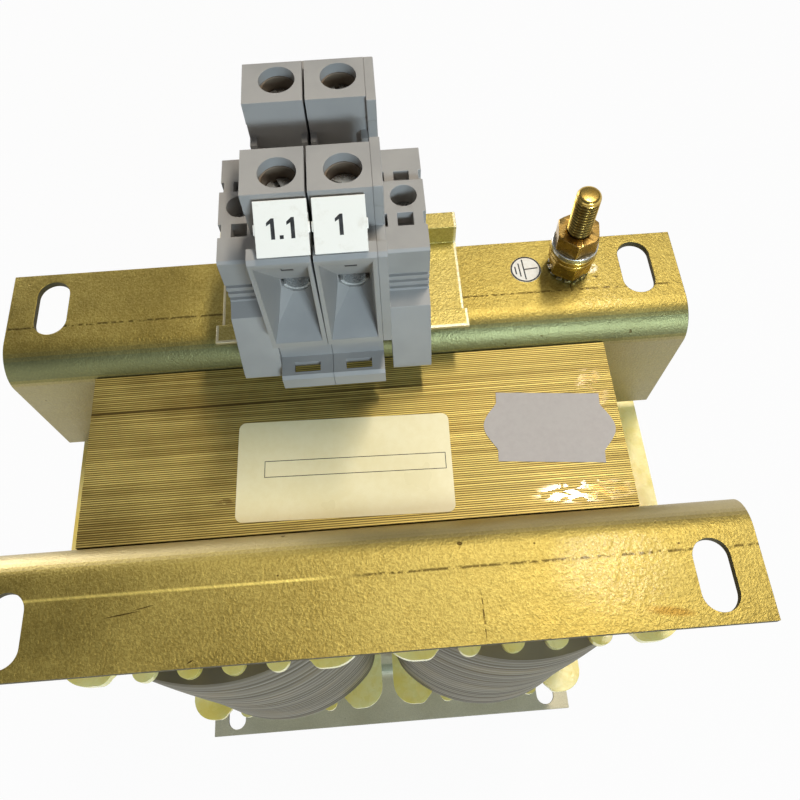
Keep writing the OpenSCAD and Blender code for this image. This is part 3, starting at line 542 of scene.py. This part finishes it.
# the housings stand a little apart over their feet
seam = {"half": 0.2 * mm, "edge": 0.45 * mm, "above": 16 * mm}
shells = {node: roundEdges(node + ".shell", node, look, width * mm)
          for look, slot, width, nodes in roundedNodes for node in nodes}
housingLow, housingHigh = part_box("left_terminal_housing")
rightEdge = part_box("right_terminal_housing")[0].x
for node, edge, away in (("left_terminal_housing", housingHigh.x, -1), ("right_terminal_housing", rightEdge, 1)):
    for vert in shells[node].data.vertices:
        if abs(vert.co.x - edge) < seam["edge"] and vert.co.z > railHigh.z + seam["above"]:
            vert.co.x += away * seam["half"]
print("rounded pieces:", len(shells))


# Lamination stacks, sheet by sheet

stackDetail = {"sheet": 0.55 * mm, "gap": 0.05 * mm, "jitterEdge": 0.06 * mm, "holeR": 3.3 * mm, "holeSides": 14}


def sheetStack(name, node, outline, holes, seed):
    rng = random.Random(seed)
    low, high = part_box(node)
    count = round((high.y - low.y) / stackDetail["sheet"])
    pitch = (high.y - low.y) / count
    rings = [[(x + a, z + b) for a, b in circle(stackDetail["holeR"], stackDetail["holeSides"])] for x, z in holes]
    midX, midZ = (low.x + high.x) / 2, (low.z + high.z) / 2
    verts, faces = [], []
    for i in range(count):
        y0 = low.y + i * pitch
        y1 = y0 + pitch - (stackDetail["gap"] if i < count - 1 else 0)
        shrink = rng.uniform(0, stackDetail["jitterEdge"])
        loops = [[(x - math.copysign(shrink, x - midX), z - math.copysign(shrink, z - midZ))
                  for x, z in outline]] + rings
        flat = [p for loop in loops for p in loop]
        tris = tessellate_polygon([[Vector((x, z, 0)) for x, z in loop] for loop in loops])
        base, n = len(verts), len(flat)
        verts += [(x, y0, z) for x, z in flat] + [(x, y1, z) for x, z in flat]
        for a, b, c in tris:
            faces.append((base + a, base + b, base + c))
            faces.append((base + n + c, base + n + b, base + n + a))
        start = 0
        for loop in loops:
            for k in range(len(loop)):
                a, b = base + start + k, base + start + (k + 1) % len(loop)
                faces.append((a, b, b + n, a + n))
            start += len(loop)
    mesh = turnOutwards(meshFrom(name, verts, faces))
    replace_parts(addPiece(name, mesh, finish["core_varnish"]), node)


coreLow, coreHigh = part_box("u_core")
formerLow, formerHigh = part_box("left_coil_former")
legX = -(formerLow.x + formerHigh.x) / 2
yokeHeight = yokeHigh.z - yokeLow.z
legHalf = yokeHigh.x - legX
windowLow = coreLow.z + yokeHeight
sheetStack("upper_yoke.sheets", "upper_yoke",
           [(yokeLow.x, yokeLow.z), (yokeHigh.x, yokeLow.z), (yokeHigh.x, yokeHigh.z), (yokeLow.x, yokeHigh.z)],
           [(s * legX, (yokeLow.z + yokeHigh.z) / 2) for s in (-1, 1)], 11)
innerX = legX - legHalf
sheetStack("u_core.sheets", "u_core",
           [(coreLow.x, coreLow.z), (coreHigh.x, coreLow.z), (coreHigh.x, coreHigh.z), (innerX, coreHigh.z),
            (innerX, windowLow), (-innerX, windowLow), (-innerX, coreHigh.z), (coreLow.x, coreHigh.z)],
           [(s * legX, coreLow.z + yokeHeight / 2) for s in (-1, 1)], 12)
print("lamination stacks made")


# Windings: uneven wrapped turns inside the CAD outline

windingDetail = {"turns": 25, "around": 160, "perTurn": 8, "groove": 0.75 * mm, "wander": 0.9 * mm,
                 "corner": 26, "sag": 0.5 * mm, "former": 2.3 * mm, "waves": 6}


def makeWinding(name, node, seed):
    rng = random.Random(seed)
    low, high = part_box(node)
    cx, cy = (low.x + high.x) / 2, (low.y + high.y) / 2
    halfX, reach = (high.x - low.x) / 2, (high.y - low.y) / 2
    tubeX = legHalf + windingDetail["former"]
    tubeY = (yokeHigh.y - yokeLow.y) / 2 + windingDetail["former"]
    height = high.z - low.z
    waves = [(rng.randint(1, 5), rng.uniform(0.2, 1.0), rng.uniform(0, 6.28), rng.uniform(0, 6.28))
             for _ in range(windingDetail["waves"])]
    turns, around, p = windingDetail["turns"], windingDetail["around"], windingDetail["corner"]
    depths = [rng.uniform(0.45, 1.0) for _ in range(turns + 1)]
    rows = turns * windingDetail["perTurn"]
    verts = []

    def outline(theta):
        side = halfX / max(abs(math.cos(theta)), 1e-6)
        return (reach ** -p + side ** -p) ** (-1 / p)

    for j in range(rows + 1):
        z = j / rows
        for i in range(around):
            theta = 2 * math.pi * i / around
            wander = sum(w * math.sin(n * theta + a + 5 * math.sin(b + 3 * z))
                         for n, w, a, b in waves) / len(waves)
            phase = z * turns + wander * windingDetail["wander"] / height * turns
            dip = (0.5 + 0.5 * math.cos(2 * math.pi * phase)) ** 3
            turn = min(max(int(round(phase)), 0), turns)
            r = outline(theta) - windingDetail["groove"] * depths[turn] * dip
            r -= windingDetail["sag"] * (0.5 + 0.5 * math.sin(7 * z + 2 * theta + seed))
            verts.append((cx + r * math.cos(theta), cy + r * math.sin(theta), low.z + z * height))
    faces = [(j * around + i, j * around + (i + 1) % around, (j + 1) * around + (i + 1) % around,
              (j + 1) * around + i) for j in range(rows) for i in range(around)]
    inner = len(verts)
    for z in (low.z, high.z):
        for i in range(around):
            theta = 2 * math.pi * i / around
            c, s = math.cos(theta), math.sin(theta)
            r = min(tubeX / max(abs(c), 1e-6), tubeY / max(abs(s), 1e-6))
            verts.append((cx + r * c, cy + r * s, z))
    top = rows * around
    for i in range(around):
        k = (i + 1) % around
        faces.append((k, i, inner + i, inner + k))
        faces.append((top + i, top + k, inner + around + k, inner + around + i))
        faces.append((inner + k, inner + i, inner + around + i, inner + around + k))
    piece = addPiece(name, meshFrom(name, verts, faces), finish["winding_film"])
    smoothByAngle(piece.data, 60)
    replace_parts(piece, node)


makeWinding("left_winding.turns", "left_winding", 3)
makeWinding("right_winding.turns", "right_winding", 8)
print("windings made")


# Threaded fasteners

thread = {"pitch": 1.0 * mm, "depth": 0.6 * mm, "around": 48, "perPitch": 10}


def threadedRod(verts, faces, place, r, length, tip):
    # helical thread from z = 0 up to length, domed at the far end over tip
    around, rows = thread["around"], int(length / thread["pitch"] * thread["perPitch"])
    base = len(verts)
    for j in range(rows + 1):
        z = length * j / rows
        cap = 1.0
        if z > length - tip:
            cap = math.sqrt(max(1 - ((z - length + tip) / tip) ** 2, 0)) * 0.35 + 0.65
        for i in range(around):
            theta = 2 * math.pi * i / around
            turn = (z / thread["pitch"] - i / around) % 1.0
            ridge = abs(2 * turn - 1)
            fade = min(1.0, z / thread["pitch"], max(length - tip * 0.6 - z, 0) / thread["pitch"])
            cut = thread["depth"] * max(0.0, min(1.0, 1.25 * (1 - ridge) - 0.1)) * fade
            rr = min(r * cap, r - cut)
            verts.append(place @ Vector((rr * math.cos(theta), rr * math.sin(theta), z)))
    for j in range(rows):
        for i in range(around):
            k = (i + 1) % around
            faces.append((base + j * around + i, base + j * around + k,
                          base + (j + 1) * around + k, base + (j + 1) * around + i))
    faces.append(tuple(base + rows * around + i for i in range(around)))
    faces.append(tuple(base + around - 1 - i for i in range(around)))


def hexHead(verts, faces, place, flats, height, chamfer):
    # six-sided head with its free end turned to a chamfer, from z = 0 down to -height
    sides = 36
    corner = flats / 2 / math.cos(math.radians(30))

    def hexR(theta):
        local = (theta + math.pi / 6) % (math.pi / 3) - math.pi / 6
        return flats / 2 / math.cos(local)

    base = len(verts)
    levels = [(0.0, None), (-height + chamfer, None), (-height, corner - chamfer * 1.7)]
    for z, cap in levels:
        for i in range(sides):
            theta = 2 * math.pi * i / sides + math.pi / 6
            rr = hexR(theta - math.pi / 6)
            if cap is not None:
                rr = min(rr, cap)
            verts.append(place @ Vector((rr * math.cos(theta), rr * math.sin(theta), z)))
    for j in range(len(levels) - 1):
        for i in range(sides):
            k = (i + 1) % sides
            faces.append((base + j * sides + k, base + j * sides + i,
                          base + (j + 1) * sides + i, base + (j + 1) * sides + k))
    faces.append(tuple(base + i for i in range(sides)))
    faces.append(tuple(base + 2 * sides + sides - 1 - i for i in range(sides)))


boltDetail = {"r": 3.0 * mm, "flats": 10 * mm, "headHeight": 4 * mm, "tip": 1.2 * mm, "chamfer": 0.5 * mm}


def fastenerPiece(name, node, places, length, look):
    verts, faces = [], []
    for place in places:
        threadedRod(verts, faces, place, boltDetail["r"], length, boltDetail["tip"])
        hexHead(verts, faces, place, boltDetail["flats"], boltDetail["headHeight"], boltDetail["chamfer"])
    piece = addPiece(name, meshFrom(name, verts, faces), finish[look])
    smoothByAngle(piece.data, 28)
    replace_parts(piece, node)


studSeat = studLow.z + boltDetail["headHeight"]
fastenerPiece("earth_stud.thread", "earth_stud", [Matrix.Translation((studX, studY, studSeat))],
              studHigh.z - studSeat, "stud_gold")
boltLow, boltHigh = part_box("core_bolts")
boltSeatY = boltLow.y + boltDetail["headHeight"]
boltRows = [coreLow.z + yokeHeight / 2, (yokeLow.z + yokeHigh.z) / 2]
turnBack = Matrix.Rotation(math.radians(-90), 4, "X")
fastenerPiece("core_bolts.thread", "core_bolts",
              [Matrix.Translation((s * legX, boltSeatY, z)) @ turnBack for s in (-1, 1) for z in boltRows],
              boltHigh.y - boltSeatY, "bright_zinc")
print("threads made")


# What shows of the clamps: screw crowns, brown sleeves in the screw holes that are painted shade and warm reflection,
# pale steel jaws in the throats painted bright for their glints, and black plates as painted shadow in the vents

clampDetail = {"crownR": 3.25 * mm, "crownH": 2.5 * mm, "slot": 1.0 * mm, "slotDeep": 1.1 * mm,
               "slotTurns": (25, -38, 64, 12), "sleeveIn": 3.38 * mm, "sleeveOut": 3.76 * mm, "sleeveDrop": 2.3 * mm,
               "mouthOut": 17.6 * mm, "wireZ": 23.0 * mm, "jawFrom": 0.45 * mm, "jawTo": 4.6 * mm,
               "faceOut": 26.9 * mm, "ceilingHigh": 42.7 * mm, "ceilingLow": 25.7 * mm,
               "ventIn": 2.1 * mm, "ventSize": (2.4 * mm, 1.5 * mm), "ventHalf": 0.04 * mm,
               "ventCorner": 0.15 * mm, "bevel": 0.25 * mm,
               "jawLift": 0.75 * mm, "jawOut": 3.2 * mm, "jawIn": 2.6 * mm}


def roundedRect(w, h, r, steps=6):
    points = []
    for cx, cy, start in ((w / 2 - r, h / 2 - r, 0), (r - w / 2, h / 2 - r, 90),
                          (r - w / 2, r - h / 2, 180), (w / 2 - r, r - h / 2, 270)):
        for k in range(steps + 1):
            a = math.radians(start + 90 * k / steps)
            points.append((cx + r * math.cos(a), cy + r * math.sin(a)))
    return points


def prism(verts, faces, outline, low, high, place):
    base, n = len(verts), len(outline)
    verts += [place @ Vector((x, y, z)) for z in (low, high) for x, y in outline]
    faces.append(tuple(base + n - 1 - k for k in range(n)))
    faces.append(tuple(base + n + k for k in range(n)))
    for k in range(n):
        j = (k + 1) % n
        faces.append((base + k, base + j, base + n + j, base + n + k))


def arc(r, first, last, steps):
    return [(r * math.cos(math.radians(first + (last - first) * k / steps)),
             r * math.sin(math.radians(first + (last - first) * k / steps))) for k in range(steps + 1)]


def revolve(verts, faces, profile, place, steps=48):
    # a closed profile of (r, z) turned round the z axis
    base, n = len(verts), len(profile)
    for i in range(steps):
        c, s = math.cos(2 * math.pi * i / steps), math.sin(2 * math.pi * i / steps)
        verts += [place @ Vector((r * c, r * s, z)) for r, z in profile]
    for i in range(steps):
        for k in range(n):
            a, b = base + i * n, base + (i + 1) % steps * n
            faces.append((a + k, b + k, b + (k + 1) % n, a + (k + 1) % n))


def shapedPiece(name, verts, faces, look, slot):
    mesh = turnOutwards(meshFrom(name, verts, faces))
    piece = addPiece(name, mesh, finish[look])
    smoothByAngle(mesh, 35)
    return piece


screwLow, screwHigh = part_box("clamp_screws")
headR = (screwHigh.x - screwLow.x - (rightEdge - housingLow.x)) / 2
railY = (railLow.y + railHigh.y) / 2
clampX = (screwLow.x + headR, screwHigh.x - headR)
clampY = (screwLow.y + headR, screwHigh.y - headR)
crowns, shadeSleeves, jaws = ([], []), ([], []), ([], [])
for n, (x, y) in enumerate((x, y) for x in clampX for y in clampY):
    r, top, slot, bevel = clampDetail["crownR"], clampDetail["crownH"], clampDetail["slot"] / 2, clampDetail["bevel"]
    place = Matrix.Translation((x, y, screwHigh.z)) @ Matrix.Rotation(
        math.radians(clampDetail["slotTurns"][n]), 4, "Z")
    prism(*crowns, arc(r, 0, 352.5, 47), 0, top - clampDetail["slotDeep"], place)
    edge = math.degrees(math.acos(slot / r))
    for turn in (0, 180):
        half = place @ Matrix.Rotation(math.radians(turn), 4, "Z")
        prism(*crowns, arc(r, -edge, edge, 24), top - clampDetail["slotDeep"], top - bevel, half)
        prism(*crowns, arc(r - bevel, -edge, edge, 24), top - bevel, top, half)
    # the sleeve's brown is painted shade and warm reflection on the hole's wall
    low, high = screwHigh.z, housingHigh.z - clampDetail["sleeveDrop"]
    rIn, rOut = clampDetail["sleeveIn"], clampDetail["sleeveOut"]
    revolve(*shadeSleeves, [(rIn, low), (rOut, low), (rOut, high), (rIn + 0.1 * mm, high), (rIn, high - 0.1 * mm)],
            Matrix.Translation((x, y, 0)))
    out = 1 if y > railY else -1
    trough = arc(clampDetail["jawOut"], -162, -18, 20) + arc(clampDetail["jawIn"], -18, -162, 20)
    mouth = railY + out * clampDetail["mouthOut"]
    upright = Matrix.Translation((x, mouth, railHigh.z + clampDetail["wireZ"] + clampDetail["jawLift"])) @ \
        Matrix.Rotation(math.radians(90), 4, "X")
    prism(*jaws, trough, *sorted((out * clampDetail["jawFrom"], out * clampDetail["jawTo"])), upright)
# black plates on the funnel ceilings: painted shadow of the vent recesses
ventShadows = ([], [])
dropY = clampDetail["faceOut"] - clampDetail["mouthOut"]
dropZ = clampDetail["ceilingHigh"] - clampDetail["ceilingLow"]
lean = math.atan2(dropZ, dropY)
ventY = clampDetail["faceOut"] - clampDetail["ventIn"]
ventZ = railHigh.z + clampDetail["ceilingHigh"] - clampDetail["ventIn"] / dropY * dropZ
for x in clampX:
    for out in (-1, 1):
        place = Matrix.Translation((x, railY + out * ventY, ventZ)) @ Matrix.Rotation(out * lean, 4, "X")
        prism(*ventShadows, roundedRect(*clampDetail["ventSize"], clampDetail["ventCorner"], 3),
              -clampDetail["ventHalf"], clampDetail["ventHalf"], place)
shapedPiece("vent_painted_shadows", *ventShadows, "print", None)
shapedPiece("clamp_screw_crowns", *crowns, "bright_zinc", "bright_zinc")
shapedPiece("screw_hole_shade_sleeves", *shadeSleeves, "sleeve_brown", "grey_polyamide")
shapedPiece("clamp_jaws", *jaws, "jaw_steel", "bright_zinc")
print("clamp details made")


# Toothed washer with twisted teeth under the lower nut

toothDetail = {"count": 14, "bore": 3.3 * mm, "body": 4.35 * mm, "width": 1.5 * mm, "thick": 0.5 * mm, "twist": 24}
toothLow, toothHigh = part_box("earth_lock_washer")
toothMid = (toothLow.z + toothHigh.z) / 2
tooth = ([], [])
half = toothDetail["thick"] / 2
revolve(*tooth, [(toothDetail["bore"], -half), (toothDetail["body"], -half), (toothDetail["body"], half),
                 (toothDetail["bore"], half)], Matrix.Translation((studX, studY, toothMid)))
reach = (toothHigh.x - toothLow.x) / 2 - 0.02 * mm
w = toothDetail["width"] / 2
for k in range(toothDetail["count"]):
    place = Matrix.Translation((studX, studY, toothMid)) @ Matrix.Rotation(
        2 * math.pi * k / toothDetail["count"], 4, "Z") @ Matrix.Rotation(math.radians(toothDetail["twist"]), 4, "X")
    prism(*tooth, [(toothDetail["body"] - 0.5 * mm, -w * 0.8), (reach - 0.12 * mm, -w), (reach, -w * 0.7),
                   (reach, w * 0.7), (reach - 0.12 * mm, w), (toothDetail["body"] - 0.5 * mm, w * 0.8)],
          -half, half, place)
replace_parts(shapedPiece("earth_lock_washer.teeth", *tooth, "bright_zinc", "bright_zinc"), "earth_lock_washer")
print("toothed washer made")


# Labels and signs, thin plates on what carries them

inkDepth = 0.02 * mm


def plate(name, outlines, thickness, place, look, soft=0.0):
    bm = bmesh.new()
    for outline in outlines:
        face = bm.faces.new([bm.verts.new((x, y, 0)) for x, y in outline])
        top = bmesh.ops.extrude_face_region(bm, geom=[face])["geom"]
        bmesh.ops.translate(bm, vec=(0, 0, thickness), verts=[v for v in top if isinstance(v, bmesh.types.BMVert)])
        if soft:
            rim = [e for e in top if isinstance(e, bmesh.types.BMEdge)]
            bmesh.ops.bevel(bm, geom=rim, offset=soft, segments=2, profile=0.5, affect="EDGES")
    bmesh.ops.recalc_face_normals(bm, faces=bm.faces)
    bmesh.ops.transform(bm, matrix=place, verts=bm.verts)
    addPiece(name, bmeshInto(bm, bpy.data.meshes.new(name)), finish[look])


def frameOutline(w, h, t):
    # a rectangle ring cut open at one corner, so that it is one outline
    slit = 1e-6
    return [(-w / 2, -h / 2), (w / 2, -h / 2), (w / 2, h / 2), (-w / 2, h / 2), (-w / 2, -h / 2 + slit),
            (t - w / 2, t - h / 2 + slit), (t - w / 2, h / 2 - t), (w / 2 - t, h / 2 - t),
            (w / 2 - t, t - h / 2), (t - w / 2, t - h / 2)]


def bar(x, y, w, h):
    return [(x - w / 2, y - h / 2), (x + w / 2, y - h / 2), (x + w / 2, y + h / 2), (x - w / 2, y + h / 2)]


def lyingAt(centre, z, turn):
    return Matrix.Translation((centre[0], stackMidY + centre[1], z)) @ Matrix.Rotation(math.radians(turn), 4, "Z")


typeLabel = {"size": (52 * mm, 25.4 * mm), "corner": 1.8 * mm, "centre": (-2.9 * mm, -6.9 * mm), "turn": -1.4,
             "thickness": 0.12 * mm, "frame": (44 * mm, 4.2 * mm, 0.16 * mm), "frameAt": (2.6 * mm, 0.2 * mm),
             "soft": 0.04 * mm}
labelPlace = lyingAt(typeLabel["centre"], yokeHigh.z, typeLabel["turn"])
plate("type_label", [roundedRect(*typeLabel["size"], typeLabel["corner"])], typeLabel["thickness"], labelPlace,
      "cream_label", typeLabel["soft"])
plate("type_label_frame", [frameOutline(*typeLabel["frame"])], inkDepth,
      labelPlace @ Matrix.Translation((*typeLabel["frameAt"], typeLabel["thickness"])), "print")

sticker = {"size": (25.9 * mm, 18.4 * mm), "bulge": 3.3 * mm, "reach": 6.3 * mm, "centre": (48.1 * mm, -0.6 * mm),
           "turn": -5.2, "thickness": 0.1 * mm, "soft": 0.03 * mm}


def stickerOutline(w, h, bulge, reach, steps=24):
    # straight top and bottom, short straight corners, and ends that swell out between them
    right = [(w / 2, h / 2)]
    for k in range(steps + 1):
        y = reach * (1 - 2 * k / steps)
        right.append((w / 2 + bulge * (0.5 + 0.5 * math.cos(math.pi * y / reach)) ** 0.6, y))
    right.append((w / 2, -h / 2))
    return right[::-1] + [(-x, y) for x, y in right]


plate("stock_sticker", [stickerOutline(*sticker["size"], sticker["bulge"], sticker["reach"])], sticker["thickness"],
      lyingAt(sticker["centre"], yokeHigh.z, sticker["turn"]), "lilac_sticker", sticker["soft"])

earthSign = {"centre": (47.7 * mm, 42.0 * mm), "r": 4.05 * mm, "ring": 0.45 * mm, "thickness": 0.08 * mm, "turn": 4.0,
             "soft": 0.03 * mm, "margin": 0.05 * mm,
             "bars": [(-0.5, 0.0, 0.34, 6.4), (-1.65, 0.0, 0.34, 4.2), (-2.7, 0.0, 0.34, 2.4), (1.4, 0.0, 3.6, 0.34)]}


signPlace = lyingAt(earthSign["centre"], flangeTop, earthSign["turn"])
plate("earth_sign", [circle(earthSign["r"])], earthSign["thickness"], signPlace, "sign_white", earthSign["soft"])
signTop = signPlace @ Matrix.Translation((0, 0, earthSign["thickness"]))
outer, inner = circle(earthSign["r"] - earthSign["margin"]), circle(earthSign["r"] - earthSign["ring"])
ringAndBars = [outer + [outer[0]] + [inner[0]] + inner[::-1]]
ringAndBars += [bar(*(v * mm for v in b)) for b in earthSign["bars"]]
plate("earth_sign_print", ringAndBars, inkDepth, signTop, "print")
print("labels made")


# Plain numbers on the marker tags

tagPrint = {"left_marker_tag": "1.1", "right_marker_tag": "1"}
tagText = {"height": 3.9 * mm, "gap": 0.16,
           "1": (0.44, [(0.19, 0), (0.38, 0), (0.38, 1), (0.24, 1), (0.0, 0.80), (0.0, 0.64), (0.19, 0.76)]),
           ".": (0.2, [(0, 0), (0.19, 0), (0.19, 0.18), (0, 0.18)])}


def slopedFace(node):
    # middle and outward direction of the tag's sloping front
    area, centre, normal = 0.0, Vector(), Vector()
    for face in cadNodes[node].data.polygons:
        if face.normal.y < -0.3 and face.normal.z > 0.3:
            area += face.area
            centre += face.center * face.area
            normal += face.normal * face.area
    return centre / area, normal.normalized()


for node, words in tagPrint.items():
    centre, normal = slopedFace(node)
    across = Vector((1, 0, 0))
    up = normal.cross(across).normalized()
    place = Matrix((across, up, normal)).transposed().to_4x4()
    place.translation = centre
    size = tagText["height"]
    width = sum(tagText[c][0] for c in words) + tagText["gap"] * (len(words) - 1)
    start, outlines = -width / 2, []
    for c in words:
        outlines.append([((start + x) * size, (y - 0.5) * size) for x, y in tagText[c][1]])
        start += tagText[c][0] + tagText["gap"]
    plate(f"{node}.print", outlines, inkDepth, place, "print")
print("tag numbers made")


# CAD pieces that keep their shape

keptLooks = {
    "gap_spacers": "pressboard", "core_washers": "bright_zinc", "core_nuts": "bright_zinc",
    "clamp_cages": "bright_zinc", "clamp_screws": "bright_zinc", "current_bars": "copper_bar",
    "end_bracket_screws": "bright_zinc",
}
for node, look in keptLooks.items():
    slots = cadNodes[node].data.materials
    slots.clear()
    slots.append(finish[look])
print("kept CAD pieces dressed:", len(keptLooks))


# Floor, light and camera

stageDetail = {"size": 6.0, "under": 0.2 * mm, "floor": (0.48, 0.47, 0.46, 1.0), "white": 0.96}


def seenRay(tree):
    # 1 for what the camera sees, straight or in metal and glass
    path = addNode(tree, "ShaderNodeLightPath")
    return most(tree, *(path.outputs[f"Is {kind} Ray"] for kind in ("Camera", "Glossy", "Transmission")))


def makeFloor():
    bpy.ops.mesh.primitive_plane_add(size=stageDetail["size"], location=(0, 0, -stageDetail["under"]))
    floor = bpy.context.object
    floor.name = "floor"
    mat = bpy.data.materials.new("paleFloor")
    mat.use_nodes = True
    tree = mat.node_tree
    tree.nodes.clear()
    out = addNode(tree, "ShaderNodeOutputMaterial")
    diffuse = addNode(tree, "ShaderNodeBsdfDiffuse", {"Color": stageDetail["floor"]})
    white = addNode(tree, "ShaderNodeEmission", {"Color": (1, 1, 1, 1), "Strength": 1.0})
    fac = times(tree, seenRay(tree), stageDetail["white"])
    mix = addNode(tree, "ShaderNodeMixShader", {0: fac, 1: diffuse.outputs[0], 2: white.outputs[0]})
    tree.links.new(mix.outputs[0], out.inputs["Surface"])
    floor.data.materials.append(mat)


skyDetail = {"towards": (0.45, 0.30, 0.84), "dark": 0.04, "bright": 0.17, "range": (-0.2, 0.95),
             "wallTop": (0.30, 0.45), "color": (0.93, 0.96, 1.0, 1)}


def makeSky():
    world = bpy.data.worlds.new("softRoom")
    world.use_nodes = True
    bpy.context.scene.world = world
    tree = world.node_tree
    tree.nodes.clear()
    out = addNode(tree, "ShaderNodeOutputWorld")
    direction = addNode(tree, "ShaderNodeTexCoord").outputs["Generated"]
    lean = addNode(tree, "ShaderNodeVectorMath", {0: direction, 1: skyDetail["towards"]}, operation="DOT_PRODUCT")
    level = ramp(tree, lean.outputs["Value"], *skyDetail["range"], skyDetail["dark"], skyDetail["bright"])
    room = addNode(tree, "ShaderNodeBackground", {"Color": skyDetail["color"], "Strength": level})
    white = addNode(tree, "ShaderNodeBackground", {"Color": (1, 1, 1, 1), "Strength": 1.0})
    # the walls are the white background, the ceiling above them stays dim
    wall = times(tree, seenRay(tree), ramp(tree, splitXYZ(tree, direction)["Z"], *skyDetail["wallTop"], 1.0, 0.0))
    mix = addNode(tree, "ShaderNodeMixShader", {0: wall, 1: room.outputs[0], 2: white.outputs[0]})
    tree.links.new(mix.outputs[0], out.inputs["Surface"])


lamps = {
    "key": {"at": (0.26, 0.27, 1.20), "aim": (0.02, 0.0, 0.27), "size": (0.07, 0.36), "power": 6.5,
            "color": (1.0, 0.91, 0.78)},
    "front": {"at": (0.42, -1.16, 0.86), "aim": (0.0, 0.0, 0.26), "size": (0.45, 0.14), "power": 14.5,
              "color": (0.70, 0.87, 1.0)},
    "back": {"at": (-0.75, 1.25, 0.40), "aim": (0.0, 0.0, 0.13), "size": (0.9, 0.5), "power": 9.0,
             "color": (1.0, 0.97, 0.92)},
    "left": {"at": (-1.30, -0.35, 0.42), "aim": (0.0, 0.0, 0.13), "size": (0.5, 0.8), "power": 2.5,
             "color": (0.94, 0.97, 1.0)},
}


def makeLamps():
    for name, lamp in lamps.items():
        light = bpy.data.lights.new(name, "AREA")
        light.energy = lamp["power"]
        light.shape = "RECTANGLE"
        light.size, light.size_y = lamp["size"]
        light.color = lamp["color"]
        holder = bpy.data.objects.new(name, light)
        bpy.context.scene.collection.objects.link(holder)
        back = (Vector(lamp["at"]) - Vector(lamp["aim"])).normalized()
        long = Vector((0, 1, 0)) - back * back.y
        long.normalize()
        turn = Matrix((long.cross(back), long, back)).transposed().to_4x4()
        holder.matrix_world = Matrix.Translation(lamp["at"]) @ turn


# fitted to the photograph: place from the stack's middle and the upper flanges
view = {"from": (8.180, -73.458, 171.815), "yaw": 0.046596, "pitch": -1.087786, "roll": -0.031690,
        "focalPx": 778.474, "imagePx": 800, "axisRow": 363.797, "sensor": 36.0}


def makeCamera():
    cam = bpy.data.cameras.new("photoCamera")
    cam.sensor_fit = "HORIZONTAL"
    cam.sensor_width = view["sensor"]
    cam.lens = view["sensor"] * view["focalPx"] / view["imagePx"]
    cam.shift_y = (view["axisRow"] - view["imagePx"] / 2) / view["imagePx"]
    cam.clip_start = 0.01
    cam.dof.use_dof = False
    cosP, sinP = math.cos(view["pitch"]), math.sin(view["pitch"])
    cosY, sinY = math.cos(view["yaw"]), math.sin(view["yaw"])
    ahead = Vector((sinY * cosP, cosY * cosP, sinP))
    right = Vector((cosY, -sinY, 0))
    up = right.cross(ahead)
    cosR, sinR = math.cos(view["roll"]), math.sin(view["roll"])
    tiltRight = cosR * right + sinR * up
    tiltUp = -sinR * right + cosR * up
    holder = bpy.data.objects.new("photoCamera", cam)
    bpy.context.scene.collection.objects.link(holder)
    turn = Matrix((tiltRight, tiltUp, -ahead)).transposed().to_4x4()
    x, y, z = (v * mm for v in view["from"])
    holder.matrix_world = Matrix.Translation((x, stackMidY + y, flangeTop + z)) @ turn
    bpy.context.scene.camera = holder


makeFloor()
makeSky()
makeLamps()
makeCamera()
bpy.context.scene.view_settings.view_transform = "Standard"
print("stage set")
